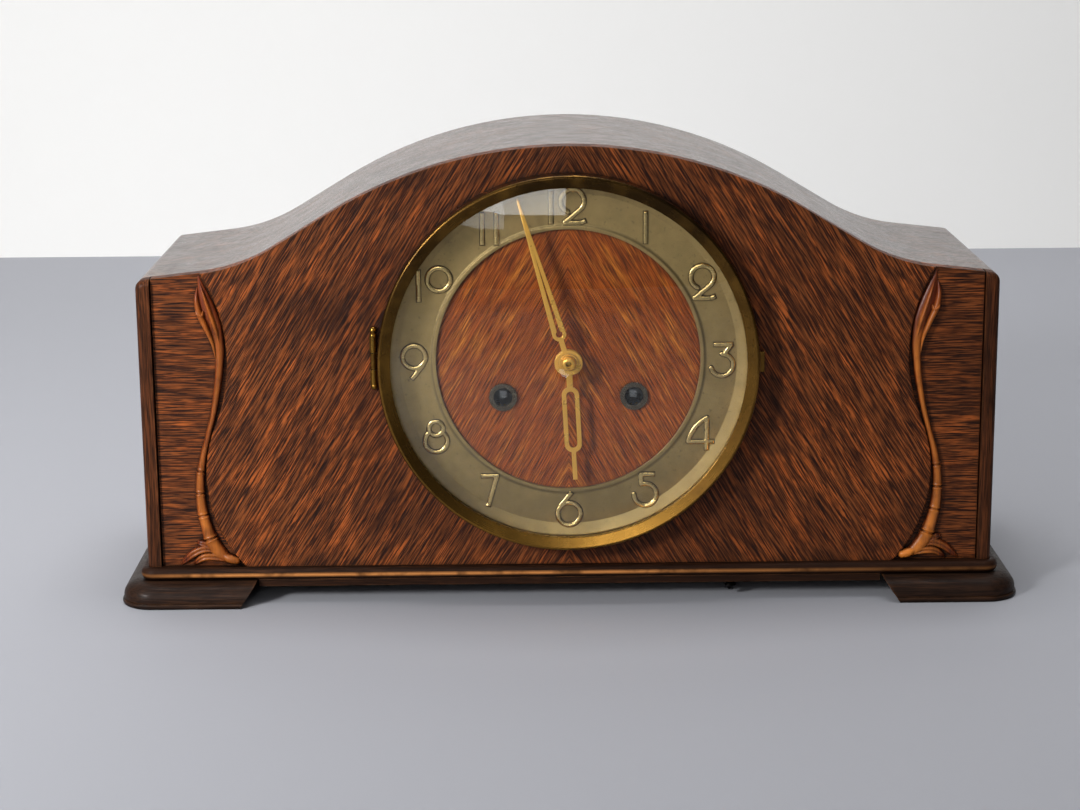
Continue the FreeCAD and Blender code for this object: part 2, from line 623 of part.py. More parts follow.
carvings = []
for side in (-1, 1):
    rows = zip(STEM_X_SHARES, STEM_Z_SHARES, STEM_HALF_SHARES, STEM_RISE_SHARES)
    line = [station(*shares) for shares in rows]
    reliefs = [relief(line, side)]
    for shares in LEAF_SHARES:
        reliefs.append(relief([station(*place) for place in shares], side))
    for band_share in BAND_SHARES:
        z = number(base) + number(s.stem_height) * band_share
        k = [i for i in range(len(line) - 1) if line[i][1] >= z >= line[i + 1][1]][0]
        part_share = (line[k][1] - z) / (line[k][1] - line[k + 1][1])
        place = [line[k][j] + (line[k + 1][j] - line[k][j]) * part_share for j in range(4)]
        dx = line[k + 1][0] - line[k][0]
        dz = line[k + 1][1] - line[k][1]
        length = math.hypot(dx, dz)
        wide = place[2] + number(s.band_rise)
        tall = place[3] + number(s.band_rise)
        first = half_round(side * (place[0] - dx / length * number(s.band_half)),
                           place[1] - dz / length * number(s.band_half),
                           side * dx, dz, wide, tall)
        way = FreeCAD.Vector(side * dx / length, 0, dz / length)
        way.multiply(number(s.band_half) * 2)
        reliefs.append(Part.Face(first).extrude(way))
    carving = fused(reliefs)
    top_box = block(-half, half, front - s.case_depth, field, base, base + s.crown_height)
    carving = carving.common(top_box)
    carvings += carving.Solids
made("carved_stems", Part.makeCompound(carvings))

# Dial, chapter ring and the bushes of the winding holes.
dial_front = field + s.seat_depth - s.dial_thick
key_z = dial_z - s.key_drop
dial_holes = [(0, dial_z, s.dial_radius), (0, dial_z, s.hand_hole), (s.key_spread, key_z, s.grommet_tube),
              (-s.key_spread, key_z, s.grommet_tube)]
plate("dial_disc", dial_front, s.dial_thick, [], dial_holes)
ring_front = dial_front - s.ring_thick
ring_profile = [(s.ring_inner, dial_front), (s.ring_inner, ring_front - s.ring_lip / 4),
                (s.ring_inner + s.ring_lip, ring_front - s.ring_lip / 4),
                (s.ring_inner + s.ring_lip * 2, ring_front), (s.ring_outer - s.ring_flare * 2, ring_front),
                (s.ring_outer - s.ring_lip / 2, ring_front - s.ring_flare / 2),
                (s.ring_outer, ring_front - s.ring_flare / 2), (s.ring_outer, dial_front)]
turned("chapter_ring", 0, dial_z, ring_profile)
bushes = []
flange_front = dial_front - s.grommet_flange
for side in (-1, 1):
    profile = [(s.grommet_bore, flange_front), (s.grommet_outer, flange_front),
               (s.grommet_outer, dial_front),
               (s.grommet_tube, dial_front), (s.grommet_tube, dial_front + s.dial_thick),
               (s.grommet_bore, dial_front + s.dial_thick)]
    bushes.append(turned("bush_%s" % ("left" if side < 0 else "right"), s.key_spread * side, key_z,
                         profile, listed=False))
group("winding_grommets", bushes)

# Bezel with its glass, the ring that holds the glass, and the hinge.
bezel_front = front - s.bezel_depth
lip_front = bezel_front + s.bezel_slope
lip_back = lip_front + s.bezel_lip_thick
bezel_profile = [(s.bezel_wall, front - s.bezel_stand), (s.bezel_outer, front - s.bezel_stand),
                 (s.bezel_outer, bezel_front + s.bezel_round, s.bezel_round, -1),
                 (s.bezel_outer - s.bezel_round, bezel_front), (s.bezel_lip, lip_front),
                 (s.bezel_lip, lip_back), (s.bezel_wall, lip_back)]
bezel = turned("bezel", 0, dial_z, bezel_profile)
knuckle_x = -s.hinge_x
knuckle_y = front - s.hinge_y
hinge_mid = s.hinge_lift
lug_half = s.hinge_length / 6 - s.shake / 2
lug_low = hinge_mid - lug_half
wall_mid = (s.bezel_wall + s.bezel_outer) / 2
lug_loop = box_loop(-wall_mid, knuckle_x, knuckle_y - s.hinge_pin, knuckle_y + s.hinge_pin)
add_pad(bezel, "bezel_lug", "XY_Plane", lug_low, lug_half * 2, [lug_loop], [], False)
add_pad(bezel, "bezel_knuckle", "XY_Plane", lug_low, lug_half * 2, [],
        [(knuckle_x, knuckle_y, s.hinge_knuckle)], False)
pocket(bezel, "bezel_knuckle_bore", "XY_Plane", lug_low, lug_half * 2, [],
       [(knuckle_x, knuckle_y, s.hinge_pin + s.pin_clearance)], True)
tab_loop = box_loop(wall_mid, wall_mid + s.tab_width, -s.tab_height / 2 - s.tab_drop,
                    s.tab_height / 2 - s.tab_drop)
add_pad(bezel, "bezel_tab", "XZ_Plane", -(front - s.bezel_stand - s.tab_thick), s.tab_thick, [tab_loop],
        [], True)

glass_rise = s.glass_reach - s.glass_edge - s.glass_thick
dome = (s.glass_rim * s.glass_rim + glass_rise * glass_rise) / (glass_rise * 2)
glass_back = front - s.glass_edge
glass_profile = [(0, front - s.glass_reach, dome, 1), (s.glass_rim, glass_back - s.glass_thick),
                 (s.glass_rim, glass_back, dome, -1),
                 (0, front - s.glass_reach + s.glass_thick)]
turned("glass", 0, dial_z, glass_profile)
retainer_inner = s.bezel_lip + s.glass_side_gap
retainer_profile = [(retainer_inner, glass_back), (s.bezel_wall, glass_back),
                    (s.bezel_wall, front - s.bezel_stand),
                    (s.bezel_wall - s.glass_side_gap * 2, front - s.bezel_stand)]
turned("glass_ring", 0, dial_z, retainer_profile)

hinge_low = dial_z + hinge_mid - s.hinge_length / 2
hinge_high = dial_z + hinge_mid + s.hinge_length / 2
hinge_third = s.hinge_length / 3
leaf = block(knuckle_x - s.hinge_leaf_width, knuckle_x, front - s.hinge_leaf_thick, front, hinge_low,
             hinge_high)
leaf = leaf.cut(block(knuckle_x - s.hinge_knuckle - s.shake, knuckle_x + s.hinge_knuckle,
                      front - s.hinge_x, front,
                      hinge_low + hinge_third - s.shake / 2, hinge_high - hinge_third + s.shake / 2))
hinge_rods = [upright_rod(s.hinge_knuckle, knuckle_x, knuckle_y, hinge_low, hinge_third - s.shake / 2),
              upright_rod(s.hinge_knuckle, knuckle_x, knuckle_y, hinge_high - hinge_third + s.shake / 2,
                          hinge_third - s.shake / 2),
              upright_rod(s.hinge_pin, knuckle_x, knuckle_y, hinge_low, s.hinge_length)]
for ball_z in (hinge_low, hinge_high, hinge_high + s.hinge_ball_step):
    centre = FreeCAD.Vector(number(knuckle_x), number(knuckle_y), number(ball_z))
    hinge_rods.append(Part.makeSphere(number(s.hinge_ball), centre))
web = block(knuckle_x - s.hinge_knuckle, knuckle_x, knuckle_y, front, hinge_low,
            hinge_low + hinge_third - s.shake / 2)
web_top = block(knuckle_x - s.hinge_knuckle, knuckle_x, knuckle_y, front,
                hinge_high - hinge_third + s.shake / 2, hinge_high)
made("bezel_hinge", fused([leaf, web, web_top] + hinge_rods))

# The movement. Places are x, z from the hand axis; levels are depths behind the front plate's inner face.
TOOTH_COUNTS = {
    "great": 64, "second_leaves": 8, "second": 60, "centre_leaves": 10, "centre": 77, "third_leaves": 7,
    "third": 78, "escape_leaves": 7, "escape": 42, "cannon": 12, "minute": 36, "minute_leaves": 9,
    "hour": 36, "pin": 56, "stop_leaves": 8, "stop": 48, "warning_leaves": 8, "warning": 40,
    "fly_leaves": 7, "ratchet": 20, "pins": 8, "spokes": 5, "spring_half_turns": 15,
}
# Tooth forms: thickness and tip as shares of the pitch, head and foot as shares of the module.
WHEEL_SHARES = (0.45, 0.17, 0.92, 1.3)
PINION_SHARES = (0.36, 0.2, 0.6, 1.45)
# Widest tooth foot as a share of the pitch, and where the hammer tail bends as a share of its height.
ROOT_LIMIT_SHARE = 0.42
TAIL_BEND_SHARE = 0.66
PIN_WAY_SHARES = (-0.7071, 0.7071)
STOP_WAY_SHARES = (0.8, 0.6)
WARNING_WAY_SHARES = (-0.3, 0.954)
FLY_WAY_SHARES = (-0.94, -0.341)


def spacing(first, second, module):
    """Centre distance of two meshing wheels."""
    return (TOOTH_COUNTS[first] + TOOTH_COUNTS[second]) * number(module) / 2


def meet(a, b, ra, rb, side):
    """Point at distance ra from a and rb from b, on the left (1) or right (-1) of the way from a to b."""
    dx = b[0] - a[0]
    dz = b[1] - a[1]
    gap = math.hypot(dx, dz)
    along = (ra * ra - rb * rb + gap * gap) / (2 * gap)
    off = math.sqrt(ra * ra - along * along) * side
    return (a[0] + (along * dx - off * dz) / gap, a[1] + (along * dz + off * dx) / gap)


def step(a, length, way):
    """Point a length away from a."""
    return (a[0] + length * way[0], a[1] + length * way[1])


key_x = number(s.key_spread)
key_z = -number(s.key_drop)
place = {"centre": (0.0, 0.0), "time_barrel": (key_x, key_z), "strike_barrel": (-key_x, key_z),
         "escape": (0.0, number(s.escape_drop)), "anchor": (0.0, number(s.anchor_drop)),
         "hammer": (-number(s.hammer_x), -number(s.hammer_drop))}
second_way = spacing("second", "centre_leaves", s.second_module)
great_way = spacing("great", "second_leaves", s.great_module)
place["time_second"] = meet(place["centre"], place["time_barrel"], second_way, great_way, 1)
place["strike_second"] = meet(place["centre"], place["strike_barrel"], second_way, great_way, -1)
place["third"] = meet(place["centre"], place["escape"], spacing("centre", "third_leaves", s.centre_module),
                      spacing("third", "escape_leaves", s.third_module), -1)
place["pin"] = step(place["strike_second"], second_way, PIN_WAY_SHARES)
place["stop"] = step(place["pin"], spacing("pin", "stop_leaves", s.pin_module), STOP_WAY_SHARES)
place["warning"] = step(place["stop"], spacing("stop", "warning_leaves", s.stop_module), WARNING_WAY_SHARES)
place["fly"] = step(place["warning"], spacing("warning", "fly_leaves", s.fly_module), FLY_WAY_SHARES)
place["minute"] = (0.0, -spacing("cannon", "minute", s.cannon_module))


def level(depth):
    """Depth y of a level."""
    return number(plate_inner + depth)


def bearing(a, b):
    """Direction from place a to place b."""
    return math.atan2(place[b][1] - place[a][1], place[b][0] - place[a][0])


def thickened(points, depth):
    """Flat outline with a thickness along y."""
    face = Part.Face(Part.makePolygon(points + [points[0]]))
    return face.extrude(FreeCAD.Vector(0, number(depth), 0))


def spot(radius, angle, y):
    """Point at a radius and angle about the piece's own axis."""
    return FreeCAD.Vector(radius * math.cos(angle), y, radius * math.sin(angle))


def teeth(count, module, form, phase, y0, y1, windows=()):
    """Toothed disc between two depths with one tooth centred on phase."""
    pitch = 2 * math.pi / count
    middle = count * number(module) / 2
    tip = middle + form[2] * number(module)
    root = middle - form[3] * number(module)
    half_tip = form[1] * pitch / 2 * middle / tip
    half_mid = form[0] * pitch / 2
    half_root = half_mid + (half_mid - half_tip) * (middle - root) / (tip - middle)
    half_root = min(half_root, pitch * ROOT_LIMIT_SHARE)
    points = []
    for i in range(count):
        angle = phase + i * pitch
        points.append(spot(root, angle - half_root, y0))
        points.append(spot(tip, angle - half_tip, y0))
        points.append(spot(tip, angle + half_tip, y0))
        points.append(spot(root, angle + half_root, y0))
    face = Part.Face(Part.makePolygon(points + [points[0]]))
    if windows:
        face = face.cut(Part.makeCompound([Part.Face(w) for w in windows]))
    return face.extrude(FreeCAD.Vector(0, y1 - y0, 0))


def crossings(outer, inner, y):
    """Openings between the spokes of a wheel."""
    wires = []
    count = TOOTH_COUNTS["spokes"]
    half_spoke = number(s.spoke_width) / 2
    for i in range(count):
        a = 2 * math.pi * i / count
        b = 2 * math.pi * (i + 1) / count
        out_off = math.asin(half_spoke / outer)
        in_off = math.asin(half_spoke / inner)
        corners = [spot(outer, a + out_off, y), spot(outer, b - out_off, y), spot(inner, b - in_off, y),
                   spot(inner, a + in_off, y)]
        mid = (a + b) / 2
        wires.append(Part.Wire([Part.Arc(corners[0], spot(outer, mid, y), corners[1]).toShape(),
                                Part.makeLine(corners[1], corners[2]),
                                Part.Arc(corners[2], spot(inner, mid, y), corners[3]).toShape(),
                                Part.makeLine(corners[3], corners[0])]))
    return wires


def rod(radius, y0, y1):
    """Cylinder about the piece's own axis."""
    return Part.makeCylinder(number(radius), number(y1) - number(y0), FreeCAD.Vector(0, number(y0), 0),
                             FreeCAD.Vector(0, 1, 0))


def wheel(count, module, phase, depth, thick=s.wheel_thick):
    """Crossed wheel at a level."""
    y0 = level(depth)
    root = count * number(module) / 2 - WHEEL_SHARES[3] * number(module)
    windows = crossings(root - number(s.rim_width), number(s.hub_radius), y0)
    return teeth(count, module, WHEEL_SHARES, phase, y0, y0 + number(thick), windows)


def pinion_span(depth, thick=s.wheel_thick):
    """Depths of the pinion that meets a wheel at a level."""
    return (level(depth - s.pinion_over), level(depth + thick + s.pinion_over))


def pinion(count, module, phase, span):
    """Steel leaves over a span of depths."""
    return teeth(count, module, PINION_SHARES, phase, span[0], span[1])


def arbor(span, front_pivot=s.pivot_radius, back_pivot=s.pivot_radius):
    """Arbor between the plates, left open where the pinion's own core takes over."""
    low = level(s.shake)
    high = level(s.plate_gap - s.shake)
    pieces = [rod(front_pivot, number(plate_front - s.pivot_over), low),
              rod(back_pivot, high, number(movement_back + s.pivot_over))]
    if span is None:
        return pieces + [rod(s.arbor_radius, low, high)]
    if span[0] > low:
        pieces.append(rod(s.arbor_radius, low, span[0]))
    return pieces + [rod(s.arbor_radius, span[1], high)]


def set_in(label, name, shapes):
    """Movement piece on its own arbor place."""
    return made(label, fused(shapes), place[name][0], dial_z + place[name][1])


def facing(a, b, leaves):
    """Phase of a pinion at b whose gap faces the wheel at a."""
    return bearing(b, a) + math.pi / TOOTH_COUNTS[leaves]


# Barrels with great wheels, mainsprings and winding arbors.
for word in ("time", "strike"):
    name = word + "_barrel"
    second = word + "_second"
    great_thick = s.drum_level - s.great_level
    great = teeth(TOOTH_COUNTS["great"], s.great_module, WHEEL_SHARES, bearing(name, second),
                  level(s.great_level), level(s.drum_level))
    drum = rod(s.drum_radius, level(s.drum_level), level(s.drum_end))
    drum = drum.cut(rod(s.drum_radius - s.drum_wall, level(s.drum_level + s.drum_wall),
                        level(s.drum_end + s.shake)))
    barrel_hole = rod(s.barrel_bore, level(s.great_level - s.shake), level(s.drum_end + s.shake))
    solid = fused([great, drum]).cut(barrel_hole)
    made(name, solid.Solids[0], place[name][0], dial_z + place[name][1])
    half_turns = TOOTH_COUNTS["spring_half_turns"]
    ends = [number(s.spring_inner) + i * number(s.spring_pitch) / 2 for i in range(half_turns + 1)]
    spring_y = level(s.drum_level + s.drum_wall + s.shake)
    edges = []
    for extra in (0, number(s.spring_strip)):
        run = []
        for i in range(half_turns):
            sign = 1 if i % 2 == 0 else -1
            a = sign * (ends[i] + extra)
            b = -sign * (ends[i + 1] + extra)
            top = sign * (ends[i] + ends[i + 1] + 2 * extra) / 2
            run.append(Part.Arc(FreeCAD.Vector(a, spring_y, 0), FreeCAD.Vector((a + b) / 2, spring_y, top),
                                FreeCAD.Vector(b, spring_y, 0)).toShape())
        edges.append(run)
    last = -1 if half_turns % 2 else 1
    first_line = Part.makeLine(FreeCAD.Vector(ends[0], spring_y, 0),
                               FreeCAD.Vector(ends[0] + number(s.spring_strip), spring_y, 0))
    last_line = Part.makeLine(FreeCAD.Vector(last * ends[-1], spring_y, 0),
                              FreeCAD.Vector(last * (ends[-1] + number(s.spring_strip)), spring_y, 0))
    strip = Part.Wire(edges[0] + [last_line] + edges[1][::-1] + [first_line])
    coil = Part.Face(strip).extrude(FreeCAD.Vector(0, number(s.spring_height), 0))
    made(word + "_mainspring", coil, place[name][0], dial_z + place[name][1])
    ratchet_y = number(plate_front) - number(s.shake) - number(s.ratchet_thick)
    pitch = 2 * math.pi / TOOTH_COUNTS["ratchet"]
    hand = 1 if word == "time" else -1
    saw = []
    for i in range(TOOTH_COUNTS["ratchet"]):
        saw.append(spot(number(s.ratchet_root), hand * i * pitch, ratchet_y))
        saw.append(spot(number(s.ratchet_radius), hand * i * pitch, ratchet_y))
    ratchet = thickened(saw, s.ratchet_thick)
    side = s.square_side / 2
    tip_y = front + s.square_tip_depth
    shaft = rod(s.barrel_arbor, ratchet_y, level(s.drum_end + s.barrel_arbor / 2))
    tail = rod(s.barrel_back_pivot, level(s.drum_end), number(movement_back + s.pivot_over))
    square = block(-side, side, tip_y, plate_front, -side, side)
    set_in(word + "_winding_arbor", name, [ratchet, square, shaft, tail])

# Clicks: a boss on a stud and a finger whose end rides just clear of the ratchet teeth.
CLICK_SHARES = ((0.893, -0.08), (0.627, 0.493), (1.127, 0.08))
click_angle = math.radians(50)
click_lead = math.radians(38)
click_y = number(plate_front) - number(s.shake) - number(s.ratchet_thick)
for word, hand in (("time", 1), ("strike", -1)):
    axis = place[word + "_barrel"]
    lean = click_angle if hand > 0 else math.pi - click_angle
    out = (math.cos(lean), math.sin(lean))
    across = (-out[1] * hand, out[0] * hand)
    reach = number(s.ratchet_radius) + number(s.click_gap)
    corners = [(number(s.click_distance) * a, number(s.click_distance) * b) for a, b in CLICK_SHARES]
    corners.insert(1, (reach * math.cos(click_lead), reach * math.sin(click_lead)))
    points = []
    for a, b in corners:
        a -= number(s.click_distance)
        points.append(FreeCAD.Vector(a * out[0] + b * across[0], click_y, a * out[1] + b * across[1]))
    finger = thickened(points, s.click_thick)
    boss = rod(s.click_boss, click_y, click_y + number(s.click_thick))
    stud_hole = rod(s.click_stud + s.pivot_clearance, click_y - number(s.shake), number(plate_front))
    bored = fused([finger, boss]).cut(stud_hole)
    place[word + "_click"] = step(axis, number(s.click_distance), out)
    made(word + "_click", bored.Solids[0], place[word + "_click"][0], dial_z + place[word + "_click"][1])

# Going train.
span = pinion_span(s.great_level, s.drum_level - s.great_level)
for word, depth, driven in (("time", s.second_level, "centre"), ("strike", s.strike_second_level, "pin")):
    name = word + "_second"
    leaves = pinion(TOOTH_COUNTS["second_leaves"], s.great_module,
                    facing(word + "_barrel", name, "second_leaves"), span)
    disc = wheel(TOOTH_COUNTS["second"], s.second_module, bearing(name, driven), depth)
    set_in(word + "_second_wheel", name, arbor(span) + [leaves, disc])

centre_span = pinion_span(s.second_level)
leaves = pinion(TOOTH_COUNTS["centre_leaves"], s.second_module,
                facing("time_second", "centre", "centre_leaves"), centre_span)
disc = wheel(TOOTH_COUNTS["centre"], s.centre_module, bearing("centre", "third"), s.centre_level)
tip_y = front - s.centre_tip_end
centre_shapes = [rod(s.centre_tip, tip_y, centre_span[0]),
                 rod(s.arbor_radius, centre_span[1], level(s.plate_gap - s.shake)),
                 rod(s.pivot_radius, level(s.plate_gap - s.shake),
                     number(movement_back + s.pivot_over)), leaves, disc]
set_in("centre_wheel", "centre", centre_shapes)

third_span = pinion_span(s.centre_level)
leaves = pinion(TOOTH_COUNTS["third_leaves"], s.centre_module, facing("centre", "third", "third_leaves"),
                third_span)
disc = wheel(TOOTH_COUNTS["third"], s.third_module, bearing("third", "escape"), s.third_level)
set_in("third_wheel", "third", arbor(third_span) + [leaves, disc])

escape_span = pinion_span(s.third_level)
leaves = pinion(TOOTH_COUNTS["escape_leaves"], s.third_module,
                facing("third", "escape", "escape_leaves"), escape_span)
pitch = 2 * math.pi / TOOTH_COUNTS["escape"]
ESCAPE_SHARES = (0.1, 0.42, 0.5, 0.62)
escape_y = level(s.escape_level)
points = []
escape_rings = (s.escape_root, s.escape_radius, s.escape_radius, s.escape_root)
for i in range(TOOTH_COUNTS["escape"]):
    for share, radius in zip(ESCAPE_SHARES, escape_rings):
        points.append(spot(number(radius), (i + share) * pitch, escape_y))
face = Part.Face(Part.makePolygon(points + [points[0]]))
windows = crossings(number(s.escape_root - s.rim_width), number(s.hub_radius), escape_y)
face = face.cut(Part.makeCompound([Part.Face(w) for w in windows]))
disc = face.extrude(FreeCAD.Vector(0, number(s.wheel_thick), 0))
set_in("escape_wheel", "escape", arbor(escape_span) + [leaves, disc])

# Anchor above the escape wheel, with the crutch behind the back plate.
ANCHOR_SHARES = ((0.0, 0.17), (0.4, 0.092), (0.74, -0.123), (0.74, -0.34), (0.646, -0.34), (0.479, -0.2415),
                 (0.37, -0.077), (0.0, -0.054))
anchor_gap = number(s.anchor_drop - s.escape_drop)
right_half = [(a * anchor_gap, b * anchor_gap) for a, b in ANCHOR_SHARES]
left_half = [(-a, b) for a, b in right_half[-2:0:-1]]
points = [FreeCAD.Vector(a, escape_y, b) for a, b in right_half + left_half]
bow = thickened(points, s.wheel_thick)
crutch_near = movement_back + s.crutch_lift
crutch_far = crutch_near + s.crutch_thick
high = level(s.plate_gap - s.shake)
anchor_shapes = [rod(s.pivot_radius, plate_front - s.pivot_over, level(s.shake)),
                 rod(s.arbor_radius, level(s.shake), high),
                 rod(s.click_stud, high, crutch_far), bow]
pendulum_y = movement_back + s.pendulum_setback
prong_in = s.rod_radius + s.crutch_gap
prong_out = prong_in + s.crutch_prong
foot_z = -s.crutch_length
arm = block(-s.crutch_half, s.crutch_half, crutch_near, crutch_far, foot_z, 0)
cross = block(-prong_out, prong_out, crutch_near, crutch_far, foot_z, foot_z + s.crutch_prong * 2)
prongs = []
for side in (-1, 1):
    edges = sorted((number(prong_in * side), number(prong_out * side)))
    prongs.append(block(edges[0], edges[1], crutch_far, pendulum_y + s.rod_radius * 2, foot_z,
                        foot_z + s.crutch_prong * 2))
anchor_shapes += [arm, cross, rod(s.anchor_hub, crutch_near, crutch_far)] + prongs
set_in("anchor", "anchor", anchor_shapes)

# Pendulum on its suspension spring; the swing axis is the anchor's.
# The bob takes this share of the height between its middle and the base.
BOB_ROOM_SHARE = 0.5
swing_z = dial_z + s.anchor_drop
cock_low = swing_z + s.cock_lift
cock = block(-s.cock_width / 2, s.cock_width / 2, movement_back, movement_back + s.cock_foot, cock_low,
             cock_low + s.cock_height)
nose = block(-s.cock_width / 4, s.cock_width / 4, movement_back, movement_back + s.cock_depth, cock_low,
             cock_low + s.cock_height / 2)
slot = block(-s.spring_slot, s.spring_slot, pendulum_y - s.spring_width / 2 - s.shake,
             movement_back + s.cock_depth + s.shake,
             cock_low - s.shake, swing_z + s.spring_rise + s.shake)
cock = fused([cock, nose]).cut(slot)
made("suspension_cock", cock.Solids[0])
clamp_z = swing_z - s.clamp_drop
spring = block(-s.spring_thick / 2, s.spring_thick / 2, pendulum_y - s.spring_width / 2,
               pendulum_y + s.spring_width / 2,
               clamp_z, swing_z + s.spring_rise)
made("suspension_spring", spring)
bob_z = swing_z - s.pendulum_length
bob_room = bob_z - base - s.bob_floor_gap
bob_radius = bob_room * BOB_ROOM_SHARE
rod_low = bob_z - bob_radius - s.rating_gap - s.rating_height - s.rod_tail
clamp = block(-s.clamp_half, s.clamp_half, pendulum_y - s.clamp_half, pendulum_y + s.clamp_half,
              swing_z - s.rod_top_drop, clamp_z)
made("pendulum_rod", fused([clamp, upright_rod(s.rod_radius, 0, pendulum_y, rod_low, clamp_z - rod_low)]))
bob_profile = [(0, -s.bob_half), (s.bob_flat, -s.bob_half, bob_radius * 2, 1),
               (bob_radius - s.bob_edge_half, -s.bob_edge_half), (bob_radius, 0),
               (bob_radius - s.bob_edge_half, s.bob_edge_half, bob_radius * 2, 1),
               (s.bob_flat, s.bob_half), (0, s.bob_half)]
bob = turned("pendulum_bob", 0, bob_z, bob_profile, y=pendulum_y)
pocket(bob, "bob_bore", "XY_Plane", -bob_radius, bob_radius * 2, [], [(0, 0, s.rod_radius)], True)
nut_top = bob_z - bob_radius - s.rating_gap
nut_bore = s.rod_radius + s.pin_clearance
nut_profile = [(nut_bore, nut_top - s.rating_height), (s.rating_radius, nut_top - s.rating_height),
               (s.rating_radius, nut_top),
               (nut_bore, nut_top)]
turned("rating_nut", 0, 0, nut_profile, upright=True, y=pendulum_y)

# Striking train, fly and hammer.
pin_span = pinion_span(s.strike_second_level)
leaves = pinion(TOOTH_COUNTS["centre_leaves"], s.second_module,
                facing("strike_second", "pin", "centre_leaves"), pin_span)
disc = wheel(TOOTH_COUNTS["pin"], s.pin_module, bearing("pin", "stop"), s.pin_level)
lifts = []
pin_low = level(s.pin_level + s.wheel_thick)
for i in range(TOOTH_COUNTS["pins"]):
    at = spot(number(s.strike_pin_circle), 2 * math.pi * (i + 0.5) / TOOTH_COUNTS["pins"], pin_low)
    lifts.append(Part.makeCylinder(number(s.strike_pin_radius), number(s.strike_pin_length), at,
                                   FreeCAD.Vector(0, 1, 0)))
rim = Part.makeCylinder(number(s.strike_pin_circle + s.strike_pin_radius * 2), number(s.wheel_thick),
                        FreeCAD.Vector(0, level(s.pin_level), 0), FreeCAD.Vector(0, 1, 0))
rim = rim.cut(Part.makeCylinder(number(s.strike_pin_circle - s.strike_pin_radius * 2),
                                number(s.wheel_thick),
                                FreeCAD.Vector(0, level(s.pin_level), 0), FreeCAD.Vector(0, 1, 0)))
set_in("pin_wheel", "pin", arbor(pin_span) + [leaves, disc, rim] + lifts)

stop_span = pinion_span(s.pin_level)
leaves = pinion(TOOTH_COUNTS["stop_leaves"], s.pin_module, facing("pin", "stop", "stop_leaves"), stop_span)
disc = wheel(TOOTH_COUNTS["stop"], s.stop_module, bearing("stop", "warning"), s.stop_level)
set_in("stop_wheel", "stop", arbor(stop_span) + [leaves, disc])

warning_span = pinion_span(s.stop_level)
leaves = pinion(TOOTH_COUNTS["warning_leaves"], s.stop_module,
                facing("stop", "warning", "warning_leaves"), warning_span)
disc = wheel(TOOTH_COUNTS["warning"], s.fly_module, bearing("warning", "fly"), s.warning_level)
set_in("warning_wheel", "warning", arbor(warning_span) + [leaves, disc])

fly_span = pinion_span(s.warning_level)
leaves = pinion(TOOTH_COUNTS["fly_leaves"], s.fly_module, facing("warning", "fly", "fly_leaves"), fly_span)
blade = block(-s.fly_half, s.fly_half, plate_inner + s.fly_level,
              plate_inner + s.fly_level + s.fly_length, -s.fly_thick / 2,
              s.fly_thick / 2)
set_in("fly", "fly", arbor(fly_span) + [leaves, blade])

rods_z = base + s.gong_rod_lift
gong_y = front + s.gong_setback
rod_rows = [gong_y - s.gong_rod_pitch, gong_y, gong_y + s.gong_rod_pitch]
hammer_z = dial_z - s.hammer_drop
head_low = rods_z + s.gong_rod_radius + s.hammer_gap
head_mid = head_low + s.hammer_head_length / 2
fall = number(hammer_z - head_mid)
run = math.sqrt(number(s.hammer_reach) ** 2 - fall * fall)
hammer_shapes = [rod(s.pivot_radius, plate_front - s.pivot_over, level(s.shake)),
                 rod(s.arbor_radius, level(s.shake), number(rod_rows[2] + s.hammer_head))]
for y in rod_rows:
    way = FreeCAD.Vector(run, 0, -fall)
    wire = Part.makeCylinder(number(s.hammer_wire), number(s.hammer_reach),
                             FreeCAD.Vector(0, number(y), 0), way)
    hammer_shapes += [wire, rod(s.anchor_hub, y - s.hammer_wire * 2, y + s.hammer_wire * 2)]
tail_y = level(s.hammer_tail_level)
pin_clear = number(s.strike_pin_circle + s.strike_pin_radius + s.hammer_tail_gap)
pin_left = place["pin"][0] - pin_clear - place["hammer"][0]
pin_up = place["pin"][1] - place["hammer"][1]
wide = number(s.hammer_tail_width)
bend = pin_up * TAIL_BEND_SHARE
points = [FreeCAD.Vector(-wide / 2, tail_y, 0), FreeCAD.Vector(wide / 2, tail_y, 0),
          FreeCAD.Vector(wide / 2, tail_y, bend),
          FreeCAD.Vector(pin_left, tail_y, pin_up), FreeCAD.Vector(pin_left - wide, tail_y, pin_up),
          FreeCAD.Vector(-wide / 2, tail_y, bend)]
hammer_shapes.append(thickened(points, s.hammer_tail_thick))
hammer_shapes.append(rod(s.anchor_hub, tail_y, tail_y + number(s.hammer_tail_thick)))
heads = []
for y in rod_rows:
    low = FreeCAD.Vector(place["hammer"][0] + run, number(y), number(head_low))
    heads.append(Part.makeCylinder(number(s.hammer_head), number(s.hammer_head_length), low))
hammer = fused(hammer_shapes)
hammer.translate(FreeCAD.Vector(place["hammer"][0], 0, number(hammer_z)))
hammer = hammer.cut(Part.makeCompound(heads))
made("hammer_arbor", hammer.Solids[0] if len(hammer.Solids) == 1 else hammer)
made("hammer_heads", Part.makeCompound(heads))

# Gong: a block on the base with three rods.
gong_low = s.gong_rod_length + s.gong_end_gap - back_reach
gong_loop = box_loop(gong_low, gong_low + s.gong_width, gong_y - s.gong_depth / 2,
                     gong_y + s.gong_depth / 2)
gong = slab("gong_block", base, s.gong_height, [gong_loop])


def gong_edge(middle, edge):
    """Upright edges and top edges of the gong block."""
    upright = edge.BoundBox.ZLength > number(s.gong_height) / 2
    return upright or middle.z > number(base + s.gong_height) - number(s.shake)


